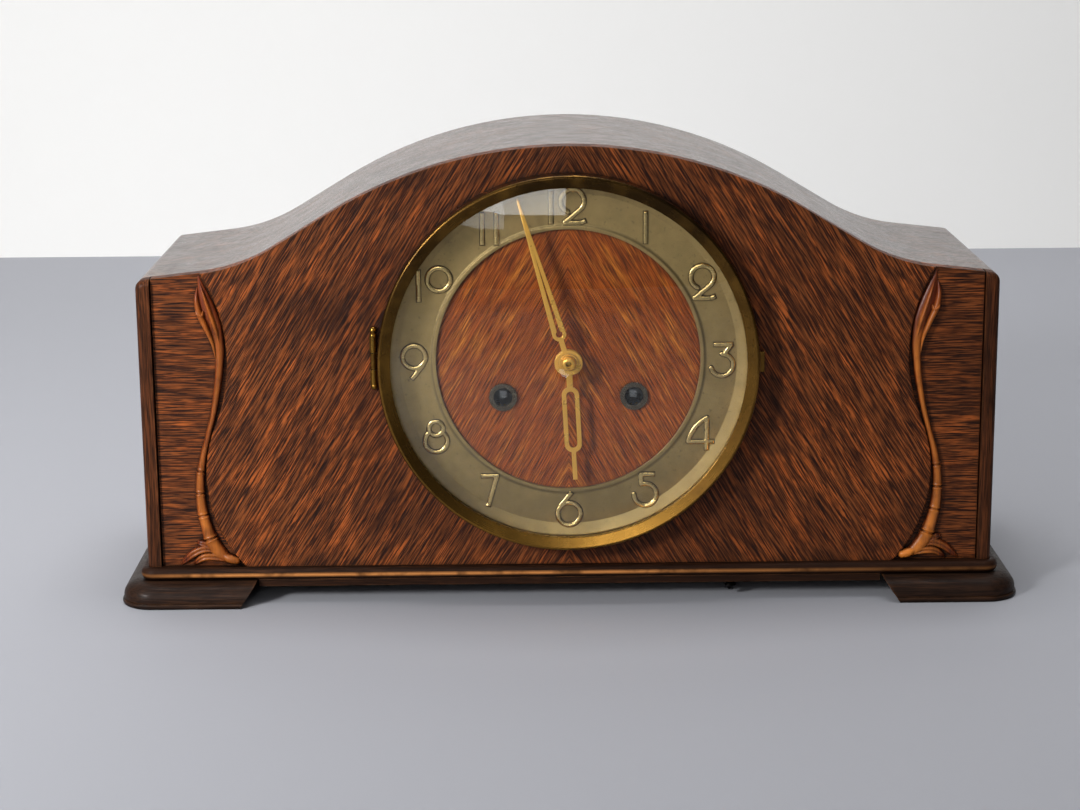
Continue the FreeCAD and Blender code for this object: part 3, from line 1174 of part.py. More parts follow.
soften(gong, "gong_rounding", s.gong_chamfer, gong_edge)
bars = []
for y in rod_rows:
    start = FreeCAD.Vector(number(gong_low), number(y), number(rods_z))
    collar = Part.makeCylinder(number(s.gong_collar), number(s.gong_collar_length), start,
                               FreeCAD.Vector(-1, 0, 0))
    bar = Part.makeCylinder(number(s.gong_rod_radius), number(s.gong_rod_length), start,
                            FreeCAD.Vector(-1, 0, 0))
    bars.append(fused([collar, bar]))
made("gong_rods", Part.makeCompound(bars))

# Plates with a hole for every pivot, pillars, nuts and the posts that hold the movement to the board.
fine = s.pivot_radius + s.pivot_clearance
barrel_front = s.barrel_arbor + s.pivot_clearance
barrel_back = s.barrel_back_pivot + s.pivot_clearance
plain_pivots = ("time_second", "strike_second", "third", "escape", "pin", "stop", "warning", "fly")
front_holes = [(name, fine) for name in plain_pivots]
front_holes += [("anchor", fine), ("hammer", fine), ("centre", s.centre_tip + s.pivot_clearance)]
front_holes += [("time_barrel", barrel_front), ("strike_barrel", barrel_front)]
back_holes = [(name, fine) for name in plain_pivots]
back_holes += [("anchor", s.click_stud + s.pivot_clearance), ("hammer", s.arbor_radius + s.pivot_clearance)]
back_holes += [("centre", fine), ("time_barrel", barrel_back), ("strike_barrel", barrel_back)]
corners = [(s.pillar_x * a, dial_z + b) for a in (-1, 1) for b in (s.pillar_top, -s.pillar_bottom)]


def drilled(label, near, holes):
    """Movement plate."""
    loop = box_loop(-s.plate_half, s.plate_half, dial_z - s.plate_bottom, dial_z + s.plate_top)
    body = plate(label, near, s.plate_thick, [loop], [(x, z, s.pillar_pivot) for x, z in corners])
    discs = []
    for name, radius in holes:
        x, z = place[name]
        x = Size(x, repr(x)) if x else 0
        discs.append((x, dial_z + z, radius))
    pocket(body, label + "_pivots", "XZ_Plane", -near, s.plate_thick, [], discs, False)
    return body


front_plate = drilled("front_plate", plate_front, front_holes)
stud_front = plate_front - s.hour_level - s.motion_thick - s.pinion_over * 2
studs = [(Size(place[w + "_click"][0], repr(place[w + "_click"][0])), dial_z + place[w + "_click"][1],
          s.click_stud)
         for w in ("time", "strike")]
add_pad(front_plate, "click_studs", "XZ_Plane", -(plate_front - s.shake - s.ratchet_thick - s.shake),
        s.shake * 2 + s.ratchet_thick,
        [], studs, True)
add_pad(front_plate, "minute_post", "XZ_Plane", -stud_front, plate_front - stud_front, [],
        [(0, dial_z + place["minute"][1], s.minute_stud)], True)
drilled("back_plate", back_plate_front, back_holes)


def corner_rod(radius, x, y0, y1, z):
    """Cylinder along y at x, z."""
    return Part.makeCylinder(number(radius), number(y1) - number(y0),
                             FreeCAD.Vector(number(x), number(y0), number(z)),
                             FreeCAD.Vector(0, 1, 0))


pillars = []
nuts = []
posts = []
for x, z in corners:
    low = plate_front - s.pillar_nut_height
    high_end = movement_back + s.pillar_nut_height
    pillars.append(fused([corner_rod(s.pillar_radius, x, plate_inner, back_plate_front, z),
                          corner_rod(s.pillar_pivot, x, low, high_end, z)]))
    for y0, y1 in ((low, plate_front), (movement_back, high_end)):
        nuts.append(corner_rod(s.pillar_nut, x, y0, y1, z).cut(corner_rod(s.pillar_pivot, x, y0, y1, z)))
for a in (-1, 1):
    for b in (s.post_top, -s.post_bottom):
        posts.append(corner_rod(s.post_radius, s.post_x * a, board_back, plate_front, dial_z + b))
made("plate_pillars", Part.makeCompound(pillars + nuts))
made("movement_posts", Part.makeCompound(posts))

# Motion work and hands.
motion_y = number(plate_front - s.cannon_level - s.motion_thick)
hour_y = number(plate_front - s.hour_level - s.motion_thick)
over = number(s.pinion_over)
thin = number(s.motion_thick)
minute_end = front - s.minute_hand_lift - s.hand_thick
hour_end = front - s.hour_hand_lift - s.hand_thick
cannon_bore = s.centre_tip + s.pipe_clearance
leaves = teeth(TOOTH_COUNTS["cannon"], s.cannon_module, PINION_SHARES,
               facing("minute", "centre", "cannon"), motion_y - over,
               motion_y + thin + over)
cannon = fused([leaves, rod(s.cannon_pipe, minute_end, plate_front - s.shake)])
cannon = cannon.cut(rod(cannon_bore, minute_end - s.shake, plate_front))
made("cannon_pinion", cannon.Solids[0], 0, dial_z)
disc = teeth(TOOTH_COUNTS["minute"], s.cannon_module, WHEEL_SHARES, bearing("minute", "centre"),
             motion_y, motion_y + thin)
leaves = teeth(TOOTH_COUNTS["minute_leaves"], s.hour_module, PINION_SHARES,
               facing("centre", "minute", "minute_leaves"),
               hour_y - over, motion_y)
minute = fused([disc, leaves]).cut(rod(s.minute_stud + s.pivot_clearance, hour_y - over * 2,
                                       number(plate_front)))
made("minute_wheel", minute.Solids[0], place["minute"][0], dial_z + place["minute"][1])
disc = teeth(TOOTH_COUNTS["hour"], s.hour_module, WHEEL_SHARES, bearing("centre", "minute"), hour_y,
             hour_y + thin)
hour = fused([disc, rod(s.hour_pipe, hour_end, hour_y + thin)])
hour = hour.cut(rod(s.cannon_pipe + s.pipe_clearance, hour_end - s.shake, hour_y + thin + over))
made("hour_wheel", hour.Solids[0], 0, dial_z)

minute_angle = -16.6
hour_angle = 177.0


def hand_face(points, y):
    """Flat face through x, z points at depth y."""
    corners = [FreeCAD.Vector(number(x), number(y), number(z)) for x, z in points]
    return Part.Face(Part.makePolygon(corners + [corners[0]]))


def disc_face(radius, z, y):
    """Round face at depth y."""
    ring = Part.makeCircle(number(radius), FreeCAD.Vector(0, number(y), number(z)), FreeCAD.Vector(0, 1, 0))
    return Part.Face(Part.Wire(ring))


def hand(label, y, parts, holes, angle):
    """Sheet-metal hand turned to where it points."""
    thick = FreeCAD.Vector(0, number(s.hand_thick), 0)
    solid = fused([part.extrude(thick) for part in parts])
    for hole in holes:
        solid = solid.cut(hole.extrude(thick))
    solid = solid.Solids[0]
    solid.rotate(FreeCAD.Vector(0, 0, 0), FreeCAD.Vector(0, 1, 0), angle)
    made(label, solid, 0, dial_z)


blade = [(-s.minute_neck, 0), (-s.minute_neck, s.minute_hole_at - s.minute_half * 2),
         (-s.minute_half, s.minute_hole_at), (-s.minute_tip, s.minute_length),
         (s.minute_tip, s.minute_length), (s.minute_half, s.minute_hole_at),
         (s.minute_neck, s.minute_hole_at - s.minute_half * 2), (s.minute_neck, 0)]
slit = [(-s.minute_slot_half, s.minute_hole_at), (s.minute_slot_half, s.minute_hole_at),
        (0, s.minute_slot_end)]
hand("minute_hand", minute_end, [hand_face(blade, minute_end), disc_face(s.boss_radius, 0, minute_end)],
     [disc_face(s.cannon_pipe, 0, minute_end), disc_face(s.minute_hole, s.minute_hole_at, minute_end),
      hand_face(slit, minute_end)],
     minute_angle)
hour_low = s.hour_loop_start + s.hour_half
hour_high = s.hour_loop_end - s.hour_half
slot_low = s.hour_loop_start + s.hour_rim + s.hour_slot_half
slot_high = s.hour_loop_end - s.hour_rim - s.hour_slot_half
stem = [(-s.hour_neck, 0), (s.hour_neck, 0), (s.hour_neck, hour_low), (-s.hour_neck, hour_low)]
loop_face = [(-s.hour_half, hour_low), (s.hour_half, hour_low), (s.hour_half, hour_high),
             (-s.hour_half, hour_high)]
tip = [(-s.hour_tip_half, hour_high), (s.hour_tip_half, hour_high), (s.hour_tip_half, s.hour_length),
       (-s.hour_tip_half, s.hour_length)]
slot_face = [(-s.hour_slot_half, slot_low), (s.hour_slot_half, slot_low), (s.hour_slot_half, slot_high),
             (-s.hour_slot_half, slot_high)]
hand("hour_hand", hour_end, [hand_face(stem, hour_end), hand_face(loop_face, hour_end),
                             disc_face(s.hour_half, hour_low, hour_end),
                             disc_face(s.hour_half, hour_high, hour_end), hand_face(tip, hour_end),
                             disc_face(s.boss_radius, 0, hour_end)],
     [disc_face(s.hour_pipe, 0, hour_end), hand_face(slot_face, hour_end),
      disc_face(s.hour_slot_half, slot_low, hour_end),
      disc_face(s.hour_slot_half, slot_high, hour_end)], hour_angle)
nut_bore = s.centre_tip + s.pipe_clearance
washer = minute_end - s.nut_washer_thick
nut_profile = [(nut_bore, minute_end), (s.nut_washer, minute_end), (s.nut_washer, washer),
               (s.nut_radius, washer),
               (s.nut_radius, minute_end - s.nut_height + s.nut_round, s.nut_round, -1),
               (s.nut_radius - s.nut_round, minute_end - s.nut_height),
               (nut_bore, minute_end - s.nut_height)]
turned("hand_nut", 0, dial_z, nut_profile)

# Turning knob under the base.
knob_top = s.foot_height - s.rail_thick - s.lock_gap
knob_low = knob_top - s.lock_drop
stem_top = base - s.lock_gap
lock_profile = [(0, knob_low), (s.lock_stem, knob_low), (s.lock_radius, knob_low + s.lock_drop / 2),
                (s.lock_stem, knob_top),
                (s.lock_stem, stem_top), (0, stem_top)]
turned("base_knob", s.lock_x, 0, lock_profile, upright=True, y=lock_y)

# Every object has to build, and every piece has to be a sound solid before it is written.
doc.recompute()
for item in doc.Objects:
    if "Invalid" in item.State or "Error" in item.State:
        raise RuntimeError(item.Label + " does not build")
os.makedirs("parts", exist_ok=True)
for item in nodes:
    shape = item.Shape
    if shape.isNull() or not shape.isValid() or not shape.Solids:
        raise RuntimeError(item.Label + " has no sound solid")
    shape.exportStep("parts/" + item.Label + ".step")
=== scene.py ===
"""Looks of a bow-topped mantel clock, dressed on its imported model."""

import logging
import math
from dataclasses import dataclass, field, replace
from enum import Enum
from typing import Callable, NamedTuple, Sequence, Union

import bpy
import numpy as np
from mathutils import Matrix, Vector


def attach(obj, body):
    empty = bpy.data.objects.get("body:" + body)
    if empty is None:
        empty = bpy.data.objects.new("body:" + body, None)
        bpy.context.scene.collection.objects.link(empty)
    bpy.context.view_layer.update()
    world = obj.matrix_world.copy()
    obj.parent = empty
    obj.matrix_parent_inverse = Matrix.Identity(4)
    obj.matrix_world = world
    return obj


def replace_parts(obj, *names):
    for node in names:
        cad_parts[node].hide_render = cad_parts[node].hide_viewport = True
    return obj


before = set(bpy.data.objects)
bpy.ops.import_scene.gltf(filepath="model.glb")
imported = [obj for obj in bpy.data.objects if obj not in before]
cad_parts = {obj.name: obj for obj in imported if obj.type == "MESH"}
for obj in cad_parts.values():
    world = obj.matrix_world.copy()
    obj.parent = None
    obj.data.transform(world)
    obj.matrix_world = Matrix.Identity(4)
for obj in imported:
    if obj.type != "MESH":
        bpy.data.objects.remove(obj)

LOG = logging.getLogger("mantel_clock")
MM = 0.001
PER_METRE = 1000.0
DIAL_CENTRE = (0.0, 131.1)
FIELD_FACE = -68.25
HOUR_STEP = 30
EDGE_SAMPLES = 4
PAINTED_SHADE_SAMPLES = 6

Colour = tuple[float, float, float, float]
Place = tuple[float, float]
Point = tuple[float, float, float]
Socket = bpy.types.NodeSocket
Feed = Union[Socket, float, tuple]
Height = Callable[[np.ndarray, np.ndarray], np.ndarray]
Rise = Callable[[np.ndarray, np.ndarray, np.ndarray], np.ndarray]


def tone(display: int) -> Colour:
    """Linear colour of a six-digit display colour.

    Args:
        display: Colour written as 0xRRGGBB.

    Returns:
        Red, green, blue and alpha in linear light.
    """
    shares = [((display >> shift) & 255) / 255 for shift in (16, 8, 0)]
    linear = [c / 12.92 if c <= 0.04045 else ((c + 0.055) / 1.055) ** 2.4 for c in shares]
    return (linear[0], linear[1], linear[2], 1.0)


class Ramp(NamedTuple):
    """A clamped range of numbers, and the range that it is mapped onto."""

    low: float
    high: float
    start: float = 0.0
    end: float = 1.0


class Noise(NamedTuple):
    """A noise field: scale, octaves, share of each finer octave, and a stretch along three axes."""

    scale: float = 1.0
    detail: float = 3.0
    rough: float = 0.6
    stretch: tuple[float, ...] = ()


class NodeSheet:
    """A node tree with short calls for adding and wiring nodes."""

    COLOUR_MIX_INPUTS = (0, 6, 7)
    COLOUR_MIX_OUTPUT = 2

    def __init__(self, tree: bpy.types.NodeTree) -> None:
        """Wraps a tree."""
        self.tree = tree

    def node(self, kind: str, **settings: object) -> bpy.types.Node:
        """Adds a node.

        Args:
            kind: Node type without its ShaderNode prefix.
            settings: Attributes of the node.

        Returns:
            The new node.
        """
        made = self.tree.nodes.new("ShaderNode" + kind)
        for key, value in settings.items():
            setattr(made, key, value)
        return made

    def feed(self, socket: Socket, value: Feed) -> None:
        """Links a socket to a source, or sets its own value.

        Args:
            socket: Input to fill.
            value: Output socket, number or tuple.
        """
        if isinstance(value, Socket):
            self.tree.links.new(value, socket)
        else:
            socket.default_value = value

    def fill(self, made: bpy.types.Node, *values: Feed) -> bpy.types.Node:
        """Fills a node's first inputs in order.

        Args:
            made: Node to fill.
            values: One value for each input.

        Returns:
            The same node.
        """
        for socket, value in zip(made.inputs, values):
            self.feed(socket, value)
        return made

    def math(self, operation: str, first: Feed, second: Feed = 0.0) -> Socket:
        """Adds one step of arithmetic with numbers."""
        return self.fill(self.node("Math", operation=operation), first, second).outputs[0]

    def times(self, first: Feed, second: Feed) -> Socket:
        """Multiplies two numbers."""
        return self.math("MULTIPLY", first, second)

    def vector(self, operation: str, first: Feed, second: Feed, output: str = "Vector") -> Socket:
        """Adds one step of arithmetic with vectors."""
        return self.fill(self.node("VectorMath", operation=operation), first, second).outputs[output]

    def span(self, value: Feed, ramp: Ramp) -> Socket:
        """Maps a number from one range onto another, clamped."""
        return self.fill(self.node("MapRange"), value, *ramp).outputs[0]

    def hump(self, value: Feed, start: float, full: float, end: float) -> Socket:
        """Rises from start to one at full, and falls again to end."""
        return self.times(self.span(value, Ramp(start, full)), self.span(value, Ramp(end, full)))

    def blend(self, share: Feed, first: Feed, second: Feed) -> Socket:
        """Mixes two colours.

        Args:
            share: How much of the second colour.
            first: First colour.
            second: Second colour.

        Returns:
            The mixed colour.
        """
        made = self.node("Mix", data_type="RGBA")
        for number, value in zip(self.COLOUR_MIX_INPUTS, (share, first, second)):
            self.feed(made.inputs[number], value)
        return made.outputs[self.COLOUR_MIX_OUTPUT]

    def over(self, colour: Feed, upper: int, mask: Feed, share: float) -> Socket:
        """Lays a display colour over a colour, by a share of a mask."""
        return self.blend(self.times(mask, share), colour, tone(upper))

    def either(self, share: Feed, first: Socket, second: Socket) -> Socket:
        """Mixes two shaders."""
        return self.fill(self.node("MixShader"), share, first, second).outputs[0]

    def split(self, vector: Feed) -> tuple[Socket, ...]:
        """Sideways, depth and height of a vector."""
        return tuple(self.fill(self.node("SeparateXYZ"), vector).outputs)

    def join(self, *values: Feed) -> Socket:
        """A vector made from numbers."""
        return self.fill(self.node("CombineXYZ"), *values).outputs[0]

    def noise(self, vector: Feed, kind: Noise) -> Socket:
        """Adds a noise field.

        Args:
            vector: Place to read.
            kind: The field's scale, octaves and stretch.

        Returns:
            Noise from nought to one.
        """
        if kind.stretch:
            vector = self.vector("MULTIPLY", vector, kind.stretch)
        made = self.node("TexNoise")
        self.feed(made.inputs["Vector"], vector)
        for key, value in (("Scale", kind.scale), ("Detail", kind.detail), ("Roughness", kind.rough)):
            made.inputs[key].default_value = value
        return made.outputs[0]

    def effect(self, tree: bpy.types.NodeTree, **values: Feed) -> bpy.types.Node:
        """Places a shared effect.

        Args:
            tree: The effect's node group.
            values: Inputs by name.

        Returns:
            The group node.
        """
        made = self.node("Group", node_tree=tree)
        for key, value in values.items():
            self.feed(made.inputs[key], value)
        return made


class Effects:
    """Shader node groups that several finishes share, each made once, with places in millimetres."""

    SWAY = Noise(detail=1.0, rough=0.5, stretch=(0.009, 0.02, 0.02))
    SWAY_SHIFT = Ramp(0.0, 1.0, -2.0, 2.0)
    GRAIN = {
        "Band": Noise(stretch=(0.01, 0.024, 0.02)),
        "Streak": Noise(stretch=(0.045, 1.15, 0.6)),
        "Fleck": Noise(rough=0.65, stretch=(0.045, 0.16, 0.1)),
        "Pore": Noise(detail=2.0, rough=0.5, stretch=(0.08, 1.8, 1.0)),
    }
    WORN_EDGE = Ramp(0.985, 0.8)
    WORN_NOISE = Noise(0.09, 4.0, 0.65)
    WORN_BREAK = Ramp(0.38, 0.62)
    DIRT_CORNER = Ramp(0.8, 0.4)
    DIRT_NOISE = Noise(0.12)
    DIRT_BREAK = Ramp(0.25, 0.6, 0.6, 1.0)
    CLOUD = Noise(0.016, 4.0)
    SMUDGE = Noise(0.07, rough=0.55)
    SCRATCH = Noise(rough=0.7, stretch=(0.05, 0.05, 1.9))
    SCRATCH_LINE = Ramp(0.63, 0.72)
    LATHE_NOISE = Noise()
    LATHE_PITCH = 3.2
    LATHE_TURN = 0.9

    def __init__(self) -> None:
        """Builds every group."""
        self.book_match = self._book_match()
        self.veneer_grain = self._veneer_grain()
        self.edge_wear = self._edge_wear()
        self.painted_corner_shade = self._crevice()
        self.age_marks = self._age_marks()
        self.turned_lines = self._turned_lines()

    @staticmethod
    def _start(name: str, inputs: dict[str, str],
               outputs: dict[str, str]) -> tuple[NodeSheet, bpy.types.Node, bpy.types.Node]:
        """Starts a group.

        Args:
            name: Name of the group.
            inputs: Socket kind of each input.
            outputs: Socket kind of each output.

        Returns:
            The sheet with the group's input and output nodes.
        """
        tree = bpy.data.node_groups.new(name, "ShaderNodeTree")
        for way, sockets in (("INPUT", inputs), ("OUTPUT", outputs)):
            for key, kind in sockets.items():
                tree.interface.new_socket(key, in_out=way, socket_type="NodeSocket" + kind)
        return NodeSheet(tree), tree.nodes.new("NodeGroupInput"), tree.nodes.new("NodeGroupOutput")

    def _book_match(self) -> bpy.types.NodeTree:
        """Grain that leans towards a middle seam and is mirrored across it.

        Returns:
            The group, which turns a place into along, across and depth.
        """
        sheet, given, out = self._start("book_match", {"Place": "Vector", "Lean": "Float"},
                                        {"Grain": "Vector"})
        x, depth, height = sheet.split(given.outputs["Place"])
        side = sheet.math("ABSOLUTE", x)
        sine = sheet.math("SINE", given.outputs["Lean"])
        cosine = sheet.math("COSINE", given.outputs["Lean"])
        along = sheet.math("SUBTRACT", sheet.times(height, sine), sheet.times(side, cosine))
        across = sheet.math("ADD", sheet.times(side, sine), sheet.times(height, cosine))
        sheet.feed(out.inputs["Grain"], sheet.join(along, across, depth))
        return sheet.tree

    def _veneer_grain(self) -> bpy.types.NodeTree:
        """Streaks, pores and broad bands of sawn veneer.

        Returns:
            The group, which reads places along and across the grain.
        """
        sheet, given, out = self._start("veneer_grain", {"Grain": "Vector"},
                                        dict.fromkeys(self.GRAIN, "Float"))
        place = given.outputs["Grain"]
        sway = sheet.span(sheet.noise(place, self.SWAY), self.SWAY_SHIFT)
        line = sheet.vector("ADD", place, sheet.join(0.0, sway))
        for name, kind in self.GRAIN.items():
            sheet.feed(out.inputs[name], sheet.noise(line, kind))
        return sheet.tree

    def _edge_wear(self) -> bpy.types.NodeTree:
        """Rubbed edges, broken up by noise.

        Returns:
            The group, whose mask is one where an edge is worn.
        """
        sheet, given, out = self._start("edge_wear", {"Place": "Vector", "Reach": "Float"},
                                        {"Mask": "Float"})
        rounded = sheet.node("Bevel", samples=EDGE_SAMPLES)
        sheet.feed(rounded.inputs["Radius"], given.outputs["Reach"])
        normal = sheet.node("NewGeometry").outputs["Normal"]
        cosine = sheet.vector("DOT_PRODUCT", rounded.outputs[0], normal, "Value")
        edge = sheet.span(cosine, self.WORN_EDGE)
        broken = sheet.span(sheet.noise(given.outputs["Place"], self.WORN_NOISE), self.WORN_BREAK)
        sheet.feed(out.inputs["Mask"], sheet.times(edge, broken))
        return sheet.tree

    def _crevice(self) -> bpy.types.NodeTree:
        """Painted shade in corners and along joints, where ambient occlusion finds them closed in, broken up
        by noise.

        Returns:
            The group, whose mask is one where the painted shade lies thick.
        """
        sheet, given, out = self._start("painted_corner_shade", {"Place": "Vector", "Reach": "Float"},
                                        {"Mask": "Float"})
        shade = sheet.node("AmbientOcclusion", samples=PAINTED_SHADE_SAMPLES)
        sheet.feed(shade.inputs["Distance"], given.outputs["Reach"])
        closed = sheet.span(shade.outputs["AO"], self.DIRT_CORNER)
        broken = sheet.span(sheet.noise(given.outputs["Place"], self.DIRT_NOISE), self.DIRT_BREAK)
        sheet.feed(out.inputs["Mask"], sheet.times(closed, broken))
        return sheet.tree

    def _age_marks(self) -> bpy.types.NodeTree:
        """Clouds of old polish and dirt, and fine scratches.

        Returns:
            The group.
        """
        sheet, given, out = self._start("age_marks", {"Place": "Vector"},
                                        {"Cloud": "Float", "Smudge": "Float", "Scratch": "Float"})
        place = given.outputs["Place"]
        sheet.feed(out.inputs["Cloud"], sheet.noise(place, self.CLOUD))
        sheet.feed(out.inputs["Smudge"], sheet.noise(place, self.SMUDGE))
        lines = sheet.noise(place, self.SCRATCH)
        sheet.feed(out.inputs["Scratch"], sheet.span(lines, self.SCRATCH_LINE))
        return sheet.tree

    def _turned_lines(self) -> bpy.types.NodeTree:
        """Fine rings left by the lathe about the dial's middle.

        Returns:
            The group, which gives the lines and the radius.
        """
        sheet, given, out = self._start("turned_lines", {"Place": "Vector", "Height": "Float"},
                                        {"Lines": "Float", "Radius": "Float"})
        x, _, height = sheet.split(given.outputs["Place"])
        up = sheet.math("SUBTRACT", height, given.outputs["Height"])
        radius = sheet.math("SQRT", sheet.math("ADD", sheet.times(x, x), sheet.times(up, up)))
        angle = sheet.math("ARCTAN2", x, up)
        ring = sheet.join(sheet.times(radius, self.LATHE_PITCH), sheet.times(angle, self.LATHE_TURN))
        sheet.feed(out.inputs["Lines"], sheet.noise(ring, self.LATHE_NOISE))
        sheet.feed(out.inputs["Radius"], radius)
        return sheet.tree


class Axis(Enum):
    """The part's own axes."""

    SIDEWAYS = 0
    DEPTH = 1
    HEIGHT = 2


class GrainLay(Enum):
    """Which way a piece's grain runs, as along, across and depth axes."""

    ALONG_X = (0, 2, 1)
    UPRIGHT = (2, 0, 1)
    BOOK_MATCH = ()


class Turning(Enum):
    """How a metal surface was finished."""

    LATHE = "lathe"
    PLAIN = "plain"


@dataclass(frozen=True)
class Rub:
    """A stretch along one axis, in millimetres, laid in another colour; some stretches are real wear, others
    a painted highlight, others painted shade.
    """

    axis: Axis
    start: float
    full: float
    end: float
    colour: int
    share: float
    least: float = 0.75


@dataclass(frozen=True)
class Finish:
    """A surface with a material of its own."""

    name: str

    EASED_EDGE = 0.0005
    RUB_BAND = (0.38, 0.58, 0.4)
    RUB_SMUDGE = (0.36, 0.52)

    def material(self, effects: Effects) -> bpy.types.Material:
        """Builds the material.

        Args:
            effects: Shared node groups.

        Returns:
            The finished material.
        """
        made = bpy.data.materials.new(self.name)
        made.use_nodes = True
        made.node_tree.nodes.clear()
        sheet = NodeSheet(made.node_tree)
        surface = self.dress(sheet, sheet.node("BsdfPrincipled"), effects)
        sheet.feed(sheet.node("OutputMaterial").inputs["Surface"], surface)
        return made

    def dress(self, sheet: NodeSheet, shader: bpy.types.Node, effects: Effects) -> Socket:
        """Fills the shader; each kind of finish has its own way."""
        raise NotImplementedError(self.name)

    @staticmethod
    def place(sheet: NodeSheet) -> Socket:
        """The surface's place in millimetres."""
        return sheet.vector("MULTIPLY", sheet.node("TexCoord").outputs["Object"], (PER_METRE,) * 3)

    def rubbed(self, sheet: NodeSheet, place: Feed, colour: Feed, rubs: tuple[Rub, ...], band: Feed,
               smudge: Feed) -> Feed:
        """Lays stretches of another colour over a colour: wear, painted highlights and painted shade.

        Args:
            sheet: The material's nodes.
            place: Place in millimetres.
            colour: Colour so far.
            rubs: The stretches.
            band: Broad noise that breaks each stretch up.
            smudge: Finer noise that breaks it up.

        Returns:
            The colour with its stretches of wear and painted light.
        """
        parts = sheet.split(place)
        for laid_stretch in rubs:
            zone = sheet.hump(parts[laid_stretch.axis.value], laid_stretch.start, laid_stretch.full, laid_stretch.end)
            zone = sheet.times(zone, sheet.span(band, Ramp(*self.RUB_BAND, laid_stretch.share)))
            zone = sheet.times(zone, sheet.span(smudge, Ramp(*self.RUB_SMUDGE, laid_stretch.least)))
            colour = sheet.blend(zone, colour, tone(laid_stretch.colour))
        return colour

    def relief(self, sheet: NodeSheet, shader: bpy.types.Node, height: Feed, depth: float,
               strength: float) -> None:
        """Gives the shader a fine relief, and eases its sharp edges.

        Args:
            sheet: The material's nodes.
            shader: Shader whose normal is set.
            height: Height field.
            depth: Depth in metres.
            strength: Share of the relief that is used.
        """
        bump = sheet.node("Bump")
        sheet.feed(bump.inputs["Height"], height)
        bump.inputs["Distance"].default_value = depth
        bump.inputs["Strength"].default_value = strength
        eased = sheet.node("Bevel", samples=EDGE_SAMPLES)
        eased.inputs["Radius"].default_value = self.EASED_EDGE
        sheet.feed(bump.inputs["Normal"], eased.outputs[0])
        sheet.feed(shader.inputs["Normal"], bump.outputs[0])


